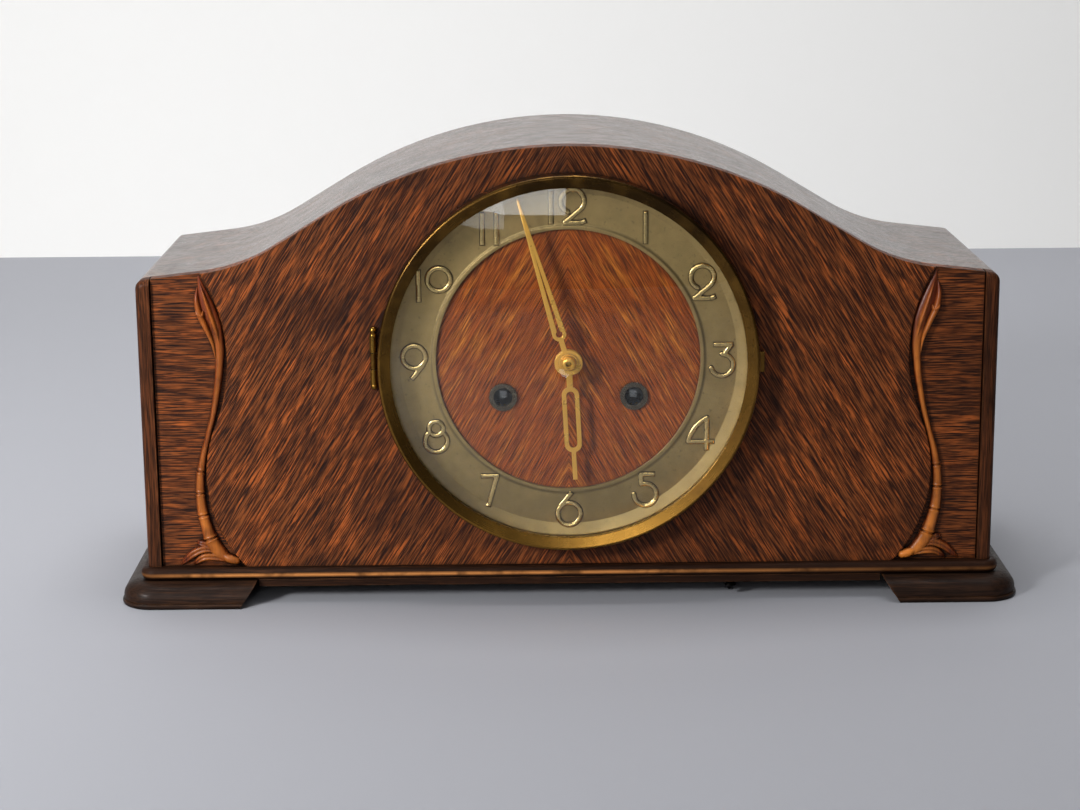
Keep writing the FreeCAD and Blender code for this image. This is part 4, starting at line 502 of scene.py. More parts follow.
@dataclass(frozen=True)
class WoodFinish(Finish):
    """Stained and polished wood."""

    ground: int = 0x3A1A0A
    warm: int = 0x7E4420
    streak: int = 0xCC682C
    pore: int = 0x1A0C06
    worn: int = 0xA0683C
    # Colour of the painted shade in corners and joints.
    grime: int = 0x0C0603
    lay: GrainLay = GrainLay.ALONG_X
    lean: float = 55.0
    fine: float = 1.0
    streak_share: float = 0.75
    pore_share: float = 0.9
    dirt_share: float = 0.5
    wear_share: float = 0.35
    wear_reach: float = 0.0012
    # Share and reach of the painted shade in corners and joints.
    corner_share: float = 0.85
    corner_reach: float = 0.004
    rough: float = 0.46
    gloss: float = 0.12
    polish: float = 0.05
    polish_rough: float = 0.3
    rubs: tuple[Rub, ...] = ()

    STREAK_TINT = Ramp(0.4, 0.59)
    BAND_DENSE = Ramp(0.36, 0.6, 0.25, 1.0)
    FLECK_PATCH = Ramp(0.47, 0.64)
    FLECK_STREAK = Ramp(0.42, 0.58, 0.12, 1.0)
    PORE_LINE = Ramp(0.5, 0.6)
    DIRT_CLOUD = Ramp(0.46, 0.68)
    ROUGH_SMUDGE = (0.3, 0.7)
    ROUGH_SPREAD = 0.07
    PORE_ROUGH = 0.12
    STREAK_HEIGHT = 0.4
    RELIEF_DEPTH = 0.0002
    RELIEF_SHARE = 0.35

    def grain(self, sheet: NodeSheet, place: Socket, effects: Effects) -> Socket:
        """Turns a place into grain coordinates.

        Args:
            sheet: The material's nodes.
            place: Place in millimetres.
            effects: Shared node groups.

        Returns:
            Along, across and depth.
        """
        if self.lay is GrainLay.BOOK_MATCH:
            return sheet.effect(effects.book_match, Place=place, Lean=math.radians(self.lean)).outputs[0]
        parts = sheet.split(place)
        return sheet.join(*(parts[axis] for axis in self.lay.value))

    def dress(self, sheet: NodeSheet, shader: bpy.types.Node, effects: Effects) -> Socket:
        """Colours the wood by its grain, age and wear.

        Args:
            sheet: The material's nodes.
            shader: Shader to fill.
            effects: Shared node groups.

        Returns:
            The surface shader.
        """
        place = self.place(sheet)
        grain = sheet.vector("MULTIPLY", self.grain(sheet, place, effects), (1.0, self.fine, self.fine))
        lines = sheet.effect(effects.veneer_grain, Grain=grain).outputs
        marks = sheet.effect(effects.age_marks, Place=place).outputs
        wear = sheet.effect(effects.edge_wear, Place=place, Reach=self.wear_reach).outputs["Mask"]
        # Mask of the painted shade in corners and joints.
        corner = sheet.effect(effects.painted_corner_shade, Place=place, Reach=self.corner_reach).outputs["Mask"]
        tint = sheet.span(lines["Streak"], self.STREAK_TINT)
        dense = sheet.span(lines["Band"], self.BAND_DENSE)
        patch = sheet.times(sheet.span(lines["Fleck"], self.FLECK_PATCH), dense)
        fleck = sheet.times(patch, sheet.span(lines["Streak"], self.FLECK_STREAK))
        pore = sheet.span(lines["Pore"], self.PORE_LINE)
        dirt = sheet.span(marks["Cloud"], self.DIRT_CLOUD)
        colour = sheet.blend(tint, tone(self.ground), tone(self.warm))
        colour = sheet.over(colour, self.streak, fleck, self.streak_share)
        colour = sheet.over(colour, self.pore, pore, self.pore_share)
        colour = sheet.over(colour, self.pore, dirt, self.dirt_share)
        colour = sheet.over(colour, self.worn, wear, self.wear_share)
        # Painted shade: corners and joints darkened towards the shade colour.
        colour = sheet.over(colour, self.grime, corner, self.corner_share)
        colour = self.rubbed(sheet, place, colour, self.rubs, lines["Band"], marks["Smudge"])
        sheet.feed(shader.inputs["Base Color"], colour)
        spread = Ramp(*self.ROUGH_SMUDGE, self.rough - self.ROUGH_SPREAD, self.rough + self.ROUGH_SPREAD)
        matt = sheet.span(marks["Smudge"], spread)
        rough = sheet.math("ADD", matt, sheet.times(pore, self.PORE_ROUGH))
        sheet.feed(shader.inputs["Roughness"], rough)
        shader.inputs["Specular IOR Level"].default_value = self.gloss
        shader.inputs["Coat Weight"].default_value = self.polish
        shader.inputs["Coat Roughness"].default_value = self.polish_rough
        height = sheet.math("SUBTRACT", sheet.times(lines["Streak"], self.STREAK_HEIGHT), pore)
        self.relief(sheet, shader, height, self.RELIEF_DEPTH, self.RELIEF_SHARE)
        return shader.outputs[0]


@dataclass(frozen=True)
class MetalFinish(Finish):
    """Brass or steel with tarnish, lathe lines and scratches."""

    bright: int = 0xC79A4A
    dull: int = 0x7A6238
    dark: int = 0x2E2415
    tarnish: float = 0.6
    rough: float = 0.3
    turning: Turning = Turning.PLAIN
    metal: float = 1.0
    wear_share: float = 0.5
    wear_reach: float = 0.0006
    # Share and reach of the painted shade in corners and joints.
    corner_share: float = 0.7
    corner_reach: float = 0.0016
    # A band of painted shade about the dial's middle: start, full and end radius, and its share.
    patina: tuple[float, ...] = ()
    patina_share: float = 0.65
    rubs: tuple[Rub, ...] = ()

    TARNISH_CLOUD = Ramp(0.28, 0.72)
    SPOT_NOISE = Noise(0.5)
    SPOT_EDGE = Ramp(0.62, 0.74)
    SPOT_SHARE = 0.6
    CLOUD_ROUGH = 0.14
    LINE_ROUGH = 0.12
    ROUGH_DROP = 0.1
    RELIEF_DEPTH = 0.00005
    RELIEF_SHARE = 0.25

    def dress(self, sheet: NodeSheet, shader: bpy.types.Node, effects: Effects) -> Socket:
        """Colours the metal by its tarnish and rubbed edges.

        Args:
            sheet: The material's nodes.
            shader: Shader to fill.
            effects: Shared node groups.

        Returns:
            The surface shader.
        """
        place = self.place(sheet)
        marks = sheet.effect(effects.age_marks, Place=place).outputs
        wear = sheet.effect(effects.edge_wear, Place=place, Reach=self.wear_reach).outputs["Mask"]
        # Mask of the painted shade in corners and joints.
        corner = sheet.effect(effects.painted_corner_shade, Place=place, Reach=self.corner_reach).outputs["Mask"]
        cloud = sheet.span(marks["Smudge"], self.TARNISH_CLOUD)
        spots = sheet.span(sheet.noise(place, self.SPOT_NOISE), self.SPOT_EDGE)
        colour = sheet.over(tone(self.bright), self.dull, cloud, self.tarnish)
        colour = sheet.over(colour, self.dark, spots, self.tarnish * self.SPOT_SHARE)
        colour = sheet.over(colour, self.bright, wear, self.wear_share)
        # Painted shade: corners and joints darkened towards the dark colour.
        colour = sheet.over(colour, self.dark, corner, self.corner_share)
        fine = marks["Scratch"]
        if self.turning is Turning.LATHE:
            turned = sheet.effect(effects.turned_lines, Place=place, Height=DIAL_CENTRE[1]).outputs
            fine = turned["Lines"]
            # Painted shade: a darker band about the dial's middle.
            if self.patina:
                zone = sheet.hump(turned["Radius"], *self.patina)
                colour = sheet.over(colour, self.dark, zone, self.patina_share)
        colour = self.rubbed(sheet, place, colour, self.rubs, marks["Cloud"], marks["Smudge"])
        sheet.feed(shader.inputs["Base Color"], colour)
        shader.inputs["Metallic"].default_value = self.metal
        rough = sheet.math("ADD", sheet.times(cloud, self.CLOUD_ROUGH), sheet.times(fine, self.LINE_ROUGH))
        sheet.feed(shader.inputs["Roughness"], sheet.math("ADD", rough, self.rough - self.ROUGH_DROP))
        self.relief(sheet, shader, sheet.math("ADD", fine, cloud), self.RELIEF_DEPTH, self.RELIEF_SHARE)
        return shader.outputs[0]


@dataclass(frozen=True)
class GlassFinish(Finish):
    """Clear old glass that lets the light through to the dial."""

    tint: int = 0xF7FAF6
    index: float = 1.4

    SMEAR = Ramp(0.5, 0.9, 0.0, 0.02)

    def dress(self, sheet: NodeSheet, shader: bpy.types.Node, effects: Effects) -> Socket:
        """Makes the glass clear, and clear to shadows.

        Args:
            sheet: The material's nodes.
            shader: Shader to fill.
            effects: Shared node groups.

        Returns:
            The surface shader.
        """
        marks = sheet.effect(effects.age_marks, Place=self.place(sheet))
        shader.inputs["Base Color"].default_value = tone(self.tint)
        shader.inputs["Transmission Weight"].default_value = 1.0
        shader.inputs["IOR"].default_value = self.index
        sheet.feed(shader.inputs["Roughness"], sheet.span(marks.outputs["Smudge"], self.SMEAR))
        ray = sheet.node("LightPath").outputs
        through = sheet.math("MAXIMUM", ray["Is Shadow Ray"], ray["Is Diffuse Ray"])
        return sheet.either(through, shader.outputs[0], sheet.node("BsdfTransparent").outputs[0])


@dataclass(frozen=True)
class RoomFinish(Finish):
    """A plain matt surface of the room, clear when it is seen from its back."""

    colour: int = 0xFFFFFF
    matt: float = 0.85

    def dress(self, sheet: NodeSheet, shader: bpy.types.Node, effects: Effects) -> Socket:
        """Makes the front matt and the back clear.

        Args:
            sheet: The material's nodes.
            shader: Shader to fill.
            effects: Shared node groups, not used here.

        Returns:
            The surface shader.
        """
        shader.inputs["Base Color"].default_value = tone(self.colour)
        shader.inputs["Roughness"].default_value = self.matt
        behind = sheet.node("NewGeometry").outputs["Backfacing"]
        return sheet.either(behind, shader.outputs[0], sheet.node("BsdfTransparent").outputs[0])


@dataclass
class Wardrobe:
    """Every finish, each made into one material."""

    effects: Effects
    made: dict[str, bpy.types.Material] = field(default_factory=dict)

    def get(self, finish: Finish) -> bpy.types.Material:
        """Looks up the material of a finish, and builds it on first use.

        Args:
            finish: The finish.

        Returns:
            Its material.
        """
        if finish.name not in self.made:
            self.made[finish.name] = finish.material(self.effects)
        return self.made[finish.name]

    def dress(self, finish: Finish, *nodes: str) -> None:
        """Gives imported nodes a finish.

        Args:
            finish: The finish.
            nodes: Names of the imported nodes.
        """
        material = self.get(finish)
        for name in nodes:
            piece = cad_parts[name]
            if not piece.material_slots:
                piece.data.materials.append(material)
            for slot in piece.material_slots:
                slot.material = material
            LOG.info("dressed %s in %s", name, finish.name)


def seated(name: str, mesh: bpy.types.Mesh, body: str) -> bpy.types.Object:
    """Adds a new piece that rides a body.

    Args:
        name: Name of the piece.
        mesh: Its mesh, in metres.
        body: Body that carries it.

    Returns:
        The new object.
    """
    piece = bpy.data.objects.new(name, mesh)
    bpy.context.scene.collection.objects.link(piece)
    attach(piece, body)
    LOG.info("built %s with %d faces on %s", name, len(mesh.polygons), body)
    return piece


@dataclass(frozen=True)
class Bar:
    """A straight stroke with square ends, in millimetres."""

    start: Place
    end: Place

    def depth(self, x: np.ndarray, z: np.ndarray, half: float) -> np.ndarray:
        """Depth inside the stroke.

        Args:
            x: Sideways places.
            z: Upright places.
            half: Half the stroke's width.

        Returns:
            Distance to the edge, below nought outside.
        """
        run = np.array(self.end) - np.array(self.start)
        length = float(np.hypot(*run))
        way = run / length
        px, pz = x - (self.start[0] + self.end[0]) / 2, z - (self.start[1] + self.end[1]) / 2
        along = np.abs(px * way[0] + pz * way[1]) - length / 2
        across = np.abs(px * way[1] - pz * way[0]) - half
        outside = np.hypot(np.maximum(along, 0), np.maximum(across, 0))
        return -(outside + np.minimum(np.maximum(along, across), 0))


@dataclass(frozen=True)
class Arc:
    """A curved stroke with round ends, in millimetres and degrees."""

    centre: Place
    radius: float
    start: float = 0.0
    sweep: float = 360.0

    def depth(self, x: np.ndarray, z: np.ndarray, half: float) -> np.ndarray:
        """Depth inside the stroke.

        Args:
            x: Sideways places.
            z: Upright places.
            half: Half the stroke's width.

        Returns:
            Distance to the edge, below nought outside.
        """
        px, pz = x - self.centre[0], z - self.centre[1]
        turn = np.mod(np.degrees(np.arctan2(pz, px)) - self.start, 360.0)
        ring = np.abs(np.hypot(px, pz) - self.radius)
        tips = []
        for angle in (self.start, self.start + self.sweep):
            a = math.radians(angle)
            tips.append(np.hypot(px - self.radius * math.cos(a), pz - self.radius * math.sin(a)))
        return half - np.where(turn <= self.sweep, ring, np.minimum(*tips))


Stroke = Union[Bar, Arc]
FIGURES: dict[str, list[Stroke]] = {
    "0": [Arc((0, 3.3), 6.1)],
    "1": [Bar((0, -8.9), (0, 8.9))],
    "2": [Arc((0, 3.3), 6.1, -42, 288), Bar((4.9, -0.4), (-4.6, -8.4)), Bar((-5.2, -8.0), (4.6, -8.0)),
          Bar((4.0, -8.2), (7.4, -6.8))],
    "3": [Bar((-4.8, 7.8), (5.9, 7.8)), Bar((5.2, 8.5), (0.2, 1.4)), Arc((-0.2, -3.2), 5.9, -165, 255)],
    "4": [Arc((12.2, -8.3), 19.6, 118.0, 49.5), Bar((2.9, 9.4), (2.9, -9.2)), Bar((-7.6, -4.1), (7.2, -4.1))],
    "5": [Bar((-3.4, 8.0), (5.4, 8.0)), Bar((-2.4, 8.6), (-2.2, 2.4)), Arc((0, -3.1), 6.0, -182, 292)],
    "6": [Arc((0, -2.6), 6.1), Bar((-5.0, 1.4), (1.6, 9.6))],
    "7": [Bar((-6.4, 7.9), (3.6, 7.9)), Bar((2.7, 9.0), (-2.7, -9.2))],
    "8": [Arc((0, 4.4), 3.8), Arc((0, -2.5), 6.0, 128, 284)],
    "9": [Arc((0, 2.6), 6.1), Bar((5.0, -1.4), (-1.6, -9.6))],
}
PAIRS: dict[int, tuple[tuple[str, float], ...]] = {
    10: (("1", -7.8), ("0", 2.9)),
    11: (("1", -3.9), ("1", 3.6)),
    12: (("1", -8.6), ("2", 2.6)),
}


@dataclass
class Relief:
    """A raised figure, built as a fine height field with a closed back, in millimetres."""

    reach: Place
    cell: float
    rise: Rise
    seat: Height
    sunk: float = 0.15
    rim: float = 0.0
    pull_cells: float = 1.5
    least_steep: float = 0.25

    SLOTS = 2

    def mesh(self, name: str, depth: Height, centre: Place) -> bpy.types.Mesh:
        """Builds the figure facing forwards.

        Args:
            name: Name of the mesh.
            depth: Depth inside the figure's outline.
            centre: Place of the figure's own origin.

        Returns:
            A closed mesh in metres.
        """
        xs, zs = (np.arange(-reach, reach + self.cell, self.cell) for reach in self.reach)
        x, z = np.meshgrid(xs, zs, indexing="ij")
        inside = depth(x, z)
        used = inside > 0
        cells = used[:-1, :-1] | used[1:, :-1] | used[:-1, 1:] | used[1:, 1:]
        slope_x, slope_z = np.gradient(inside, self.cell)
        steep = np.maximum(slope_x ** 2 + slope_z ** 2, self.least_steep)
        pull = np.where(used, 0.0, np.minimum(-inside, self.cell * self.pull_cells) / steep)
        x, z = x + slope_x * pull, z + slope_z * pull
        held = np.maximum(np.where(used, inside, 0.0), 0.0)
        seat = self.seat(x + centre[0], z + centre[1])
        front = np.stack([x + centre[0], seat - self.rise(held, x, z), z + centre[1]], axis=-1)
        back = np.stack([x + centre[0], seat + self.sunk, z + centre[1]], axis=-1)
        index = -np.ones((2,) + x.shape, dtype=int)
        points: list[np.ndarray] = []
        faces: list[tuple[int, ...]] = []
        slots: list[int] = []

        def corner(layer: int, i: int, j: int) -> int:
            """Numbers a corner, and adds it on first use.

            Args:
                layer: Nought for the front, one for the back.
                i: Column of the grid.
                j: Row of the grid.

            Returns:
                The corner's number.
            """
            if index[layer, i, j] < 0:
                index[layer, i, j] = len(points)
                points.append((back if layer else front)[i, j] * MM)
            return int(index[layer, i, j])

        columns, rows = cells.shape
        for i, j in np.argwhere(cells):
            ring = [(i, j), (i + 1, j), (i + 1, j + 1), (i, j + 1)]
            faces.append(tuple(corner(0, *p) for p in ring))
            slots.append(int(np.mean([held[p] for p in ring]) > self.rim))
            faces.append(tuple(corner(1, *p) for p in reversed(ring)))
            slots.append(1)
            for k, (di, dj) in enumerate(((0, -1), (1, 0), (0, 1), (-1, 0))):
                a, b = i + di, j + dj
                if not (0 <= a < columns and 0 <= b < rows and cells[a, b]):
                    p, q = ring[k], ring[(k + 1) % 4]
                    faces.append((corner(0, *q), corner(0, *p), corner(1, *p), corner(1, *q)))
                    slots.append(0)
        made = bpy.data.meshes.new(name)
        made.from_pydata([tuple(p) for p in points], [], faces)
        made.polygons.foreach_set("material_index", slots)
        made.polygons.foreach_set("use_smooth", [True] * len(faces))
        made.update()
        return made


@dataclass
class Sweep:
    """A carved form swept along a line on the case's front, in millimetres."""

    line: Sequence[Place]
    halves: Sequence[float]
    rises: Sequence[float]
    steps: int = 40
    vein: float = 0.0
    bands: Sequence[float] = ()
    lip: float = 0.09
    lip_at: float = 1.0
    lip_width: float = 0.55
    cut: float = 0.2
    cut_width: float = 0.5
    vein_width: float = 0.28
    crown: float = 0.75
    least: float = 0.12
    sunk: float = 0.15
    ring_points: int = 13

    @staticmethod
    def smooth(values: np.ndarray, share: np.ndarray) -> np.ndarray:
        """Reads a smooth curve through values.

        Args:
            values: Rows at even steps.
            share: Places from nought to one.

        Returns:
            A row for each place.
        """
        last = len(values) - 1
        place = share * last
        i = np.minimum(place.astype(int), last - 1)
        t = (place - i)[:, None]
        before, first, second, after = (values[np.clip(i + k, 0, last)] for k in (-1, 0, 1, 2))
        square = 2 * before - 5 * first + 4 * second - after
        cube = 3 * first - before - 3 * second + after
        return 0.5 * (2 * first + (second - before) * t + square * t ** 2 + cube * t ** 3)

    def add(self, points: list[Point], faces: list[tuple[int, ...]], side: int) -> None:
        """Adds the form to a mesh under way.

        Args:
            points: Corners so far, in metres.
            faces: Faces so far.
            side: One for the right half, minus one for the left.
        """
        share = np.linspace(0, 1, self.steps)
        rows = np.array([(p[0], p[1], h, r) for p, h, r in zip(self.line, self.halves, self.rises)])
        track = self.smooth(rows, share)
        way = np.gradient(track[:, :2], axis=0)
        way /= np.linalg.norm(way, axis=1)[:, None]
        swell = np.ones(self.steps)
        for z in self.bands:
            gap = np.abs(track[:, 1] - z)
            lip = self.lip * np.exp(-((gap - self.lip_at) / self.lip_width) ** 2)
            swell += lip - self.cut * np.exp(-(gap / self.cut_width) ** 2)
        width = self.ring_points
        start = len(points)
        for (x, z, half, rise), (dx, dz), grow in zip(track, way, swell):
            for t in np.linspace(0, math.pi, width):
                off = -math.cos(t) * max(half, self.least) * grow
                groove = 1 - self.vein * math.exp(-(math.cos(t) / self.vein_width) ** 2)
                lift = max(math.sin(t), 0.0) ** self.crown * max(rise, self.least) * grow * groove
                depth = FIELD_FACE - lift + self.sunk
                points.append(((x + off * dz) * side * MM, depth * MM, (z - off * dx) * MM))
        for i in range(self.steps - 1):
            for j in range(width):
                a, b = start + i * width + j, start + i * width + (j + 1) % width
                quad = (a, b, b + width, a + width)
                faces.append(quad if side > 0 else quad[::-1])
        first = tuple(range(start, start + width))
        last = tuple(range(start + (self.steps - 1) * width, start + self.steps * width))
        faces.append(first[::-1] if side > 0 else first)
        faces.append(last if side > 0 else last[::-1])


CARVED_FORMS = (
    Sweep([(194.3, 158.6), (190.7, 143.9), (186.5, 132.2), (184.7, 121.0), (184.8, 112.0), (186.0, 101.3),
           (188.7, 86.2), (192.1, 73.1), (195.2, 62.0), (197.3, 50.7), (197.8, 41.1), (197.1, 30.9),
           (194.8, 20.7), (192.3, 13.2), (187.7, 6.6), (181.8, 2.6)],
          [0.4, 3.7, 3.7, 2.9, 2.4, 2.1, 1.8, 1.7, 2.0, 2.4, 2.7, 3.0, 3.4, 4.0, 3.7, 2.0],
          [0.5, 2.4, 2.9, 3.2, 3.3, 3.3, 3.2, 3.2, 3.3, 3.5, 3.6, 3.7, 3.9, 4.0, 3.6, 2.6],
          steps=420, bands=(53.0, 41.0, 28.5, 15.5)),
    Sweep([(195.0, 152.5), (195.6, 146.0), (194.2, 138.5), (190.8, 130.5), (187.8, 122.5), (186.4, 113.0)],
          [0.3, 1.4, 1.9, 1.7, 1.2, 0.3], [0.8, 3.2, 4.0, 4.2, 3.9, 2.5], steps=60),
    Sweep([(194.0, 156.0), (191.2, 147.5), (188.4, 138.5), (185.6, 129.0), (183.9, 120.0)],
          [0.2, 1.0, 1.3, 1.2, 0.3], [0.9, 3.8, 4.5, 4.3, 2.4], steps=60),
    Sweep([(196.0, 141.8), (195.2, 138.8), (193.0, 137.8), (192.2, 140.2)],
          [0.5, 1.1, 1.2, 0.5], [2.8, 4.3, 4.5, 3.4], steps=28),
    Sweep([(177.3, 2.9), (178.4, 3.0), (180.6, 3.4), (184.0, 4.6), (188.0, 7.0)],
          [0.4, 2.0, 2.5, 2.6, 1.0], [0.6, 3.4, 4.4, 4.3, 2.6], steps=36),
    Sweep([(182.0, 2.9), (187.0, 4.2), (192.5, 5.4), (197.5, 5.0), (201.2, 2.6), (203.2, 0.5)],
          [0.8, 1.7, 2.4, 2.3, 1.6, 0.3], [2.6, 3.3, 3.7, 3.6, 2.6, 0.8], steps=48, vein=0.3),
    Sweep([(186.0, 5.6), (191.0, 8.6), (197.0, 9.6), (203.0, 7.0), (207.6, 3.0), (210.2, 0.6)],
          [0.7, 1.7, 2.4, 2.3, 1.5, 0.3], [2.4, 3.0, 3.4, 3.2, 2.2, 0.7], steps=48, vein=0.3),
    Sweep([(189.0, 8.6), (193.0, 10.6), (196.6, 12.2), (199.4, 13.0), (200.9, 12.6)],
          [0.6, 1.6, 2.2, 1.6, 0.3], [2.2, 2.9, 3.2, 2.4, 0.7], steps=36, vein=0.25),
)


@dataclass
class WoodCase:
    """The wooden case with its veneers, base, feet, knob, back and carved stems."""

    wardrobe: Wardrobe
    lift: float = 19.5
    outset: float = -0.3
    panel: WoodFinish = WoodFinish("panel_veneer", lay=GrainLay.BOOK_MATCH, lean=58.0)
    board: WoodFinish = WoodFinish("field_veneer", streak_share=0.5)
    top: WoodFinish = WoodFinish(
        "top_veneer", ground=0x3B271C, warm=0x5A3B29, streak=0x84573A, pore_share=0.5, wear_share=0.2,
        rough=0.34, gloss=0.4, polish=0.6, polish_rough=0.26)
    side: WoodFinish = WoodFinish(
        "side_veneer", lay=GrainLay.UPRIGHT, ground=0x382014, warm=0x5E3623, streak=0x94532B)
    dark: WoodFinish = WoodFinish(
        "dark_wood", ground=0x1E110A, warm=0x301C11, streak=0x4C2D1A, streak_share=0.4, pore_share=0.5,
        wear_share=0.3, gloss=0.08, polish=0.0,
        # Along the base's rounded nose, a stripe of worn orange wood that is also a painted highlight; then
        # painted shade that darkens the base towards its right side and at its left end.
        rubs=(Rub(Axis.HEIGHT, 14.4, 15.8, 17.2, 0xD28A4C, 0.95, 0.3),
              Rub(Axis.SIDEWAYS, 40.0, 180.0, 900.0, 0x2A170D, 0.95, 0.8),
              Rub(Axis.SIDEWAYS, -200.0, -232.0, -900.0, 0x2A170D, 0.95, 0.8)))
    stile: WoodFinish = WoodFinish(
        "stile_wood", lay=GrainLay.UPRIGHT, ground=0x341C0E, warm=0x58301A, streak=0x7E4624,
        streak_share=0.45, pore_share=0.5, gloss=0.07)
    foot: WoodFinish = WoodFinish(
        "foot_wood", ground=0x1C110B, warm=0x2E1D13, streak=0x452B1A, streak_share=0.4, pore_share=0.5,
        wear_share=0.2, wear_reach=0.0018, rough=0.42, gloss=0.1)
    rear: WoodFinish = WoodFinish(
        "back_wood", ground=0x4A3222, warm=0x6E4D33, streak=0x8E6746, streak_share=0.5, pore_share=0.6,
        dirt_share=0.35, rough=0.6)
    carving: WoodFinish = WoodFinish(
        "carving_wood", lay=GrainLay.UPRIGHT, ground=0x42190A, warm=0x702E10, streak=0xB05A20, pore=0x240E05,
        worn=0xD08A48, streak_share=0.5, pore_share=0.3, dirt_share=0.3, wear_share=0.2, wear_reach=0.0008,
        corner_reach=0.0035, rough=0.34, polish=0.3,
        rubs=(Rub(Axis.DEPTH, -70.3, -71.9, -99.0, 0xE08432, 1.0, 0.45),
              Rub(Axis.HEIGHT, 140.0, 160.0, 500.0, 0x7C3416, 0.8, 0.6)))
    knob: MetalFinish = MetalFinish(
        "black_metal", bright=0x161412, dull=0x0C0B0A, dark=0x060605, tarnish=0.7, rough=0.36)

    def dress(self) -> None:
        """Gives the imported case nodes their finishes."""
        dress = self.wardrobe.dress
        dress(self.panel, "centre_panel")
        dress(self.board, "front_board")
        dress(self.top, "top_panel")
        dress(self.side, "case_sides")
        dress(self.dark, "base_board", "bottom_rail")
        dress(self.stile, "front_stiles")
        dress(self.foot, "left_foot", "right_foot")
        dress(self.rear, "back_frame", "back_door")
        dress(self.knob, "base_knob")

    def carve(self) -> None:
        """Builds the carved stems of both sides as one piece."""
        points: list[Point] = []
        faces: list[tuple[int, ...]] = []
        for side in (-1, 1):
            for form in CARVED_FORMS:
                line = [(x + self.outset, z + self.lift) for x, z in form.line]
                bands = [z + self.lift for z in form.bands]
                replace(form, line=line, bands=bands).add(points, faces, side)
        mesh = bpy.data.meshes.new("carved_relief")
        mesh.from_pydata(points, [], faces)
        mesh.polygons.foreach_set("use_smooth", [len(f) == 4 for f in faces])
        mesh.update()
        mesh.materials.append(self.wardrobe.get(self.carving))
        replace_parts(seated("carved_relief", mesh, "case"), "carved_stems")

    def build(self) -> None:
        """Dresses the case and carves its stems."""
        self.dress()
        self.carve()


@dataclass
class Dial:
    """The wooden dial with its brass chapter ring and raised numerals, in millimetres."""

    wardrobe: Wardrobe
    half: float = 1.5
    height: float = 0.95
    circle: float = 81.5
    reach: Place = (14.5, 11.5)
    cell: float = 0.25
    rim: float = 0.42
    ring_radii: tuple[float, ...] = (71.6, 73.2, 89.2, 95.2)
    ring_faces: tuple[float, ...] = (-69.15, -68.75, -68.75, -70.45)
    disc: WoodFinish = WoodFinish(
        "dial_veneer", lay=GrainLay.BOOK_MATCH, lean=60.0, fine=1.6, ground=0x6A2E0C, warm=0xA85218,
        streak=0xDC8830, pore=0x3A1808, pore_share=0.85, dirt_share=0.15, wear_share=0.0)
    # The chapter ring: the band about radius 72 is painted shade on its inner lip, its corners take painted
    # shade, and its last stretch makes it darker towards the bottom.
    ring: MetalFinish = MetalFinish(
        "ring_brass", bright=0xA68C5C, dull=0x7C6844, dark=0x403624, tarnish=0.75, rough=0.36,
        turning=Turning.LATHE, metal=0.8, corner_share=0.3, patina=(71.5, 72.2, 73.6),
        rubs=(Rub(Axis.HEIGHT, 115.0, 55.0, -80.0, 0x74623F, 0.6),))
    # Lit and shaded copies of the numerals' brass: a painted highlight on the middle of each stroke and
    # painted shade on its edges, standing for a groove.
    ridge: MetalFinish = MetalFinish("numeral_painted_highlight", bright=0xDCBE84, dull=0xB09260, tarnish=0.4, rough=0.26)
    groove: MetalFinish = MetalFinish(
        "numeral_painted_shade", bright=0x584828, dull=0x382D1A, dark=0x20190E, rough=0.4, wear_share=0.0)
    bush: MetalFinish = MetalFinish("bush_metal", bright=0x74685A, dull=0x4A4036, dark=0x120F0C, rough=0.26)

    def ring_face(self, x: np.ndarray, z: np.ndarray) -> np.ndarray:
        """Depth of the chapter ring's front at each place."""
        radius = np.hypot(x - DIAL_CENTRE[0], z - DIAL_CENTRE[1])
        return np.interp(radius, self.ring_radii, self.ring_faces)

    def number(self, hour: int) -> None:
        """Builds one raised numeral.

        Args:
            hour: Hour from one to twelve.
        """
        strokes = PAIRS.get(hour, ((str(hour), 0.0),))

        def depth(x: np.ndarray, z: np.ndarray) -> np.ndarray:
            """Depth inside any stroke of the numeral."""
            placed = [(stroke, shift) for name, shift in strokes for stroke in FIGURES[name]]
            return np.maximum.reduce([stroke.depth(x - shift, z, self.half) for stroke, shift in placed])

        def rise(held: np.ndarray, x: np.ndarray, z: np.ndarray) -> np.ndarray:
            """Height of a half-round ridge."""
            share = np.clip(held / self.half, 0.0, 1.0)
            return self.height * np.sqrt(1.0 - (1.0 - share) ** 2)

        angle = math.radians(hour * HOUR_STEP)
        centre = (DIAL_CENTRE[0] + self.circle * math.sin(angle),
                  DIAL_CENTRE[1] + self.circle * math.cos(angle))
        relief = Relief(self.reach, self.cell, rise, self.ring_face, rim=self.rim)
        mesh = relief.mesh(f"numeral_{hour}", depth, centre)
        # Slot nought, the strokes' edges and sides, takes the painted shade; slot one, their middles, the
        # painted highlight.
        for finish in (self.groove, self.ridge):
            mesh.materials.append(self.wardrobe.get(finish))
        seated(f"numeral_{hour}", mesh, "case")

    def build(self) -> None:
        """Dresses the dial and its bushes, and builds the twelve numerals."""
        dress = self.wardrobe.dress
        dress(self.disc, "dial_disc")
        dress(self.ring, "chapter_ring")
        dress(self.bush, "winding_grommets")
        for hour in range(1, 13):
            self.number(hour)


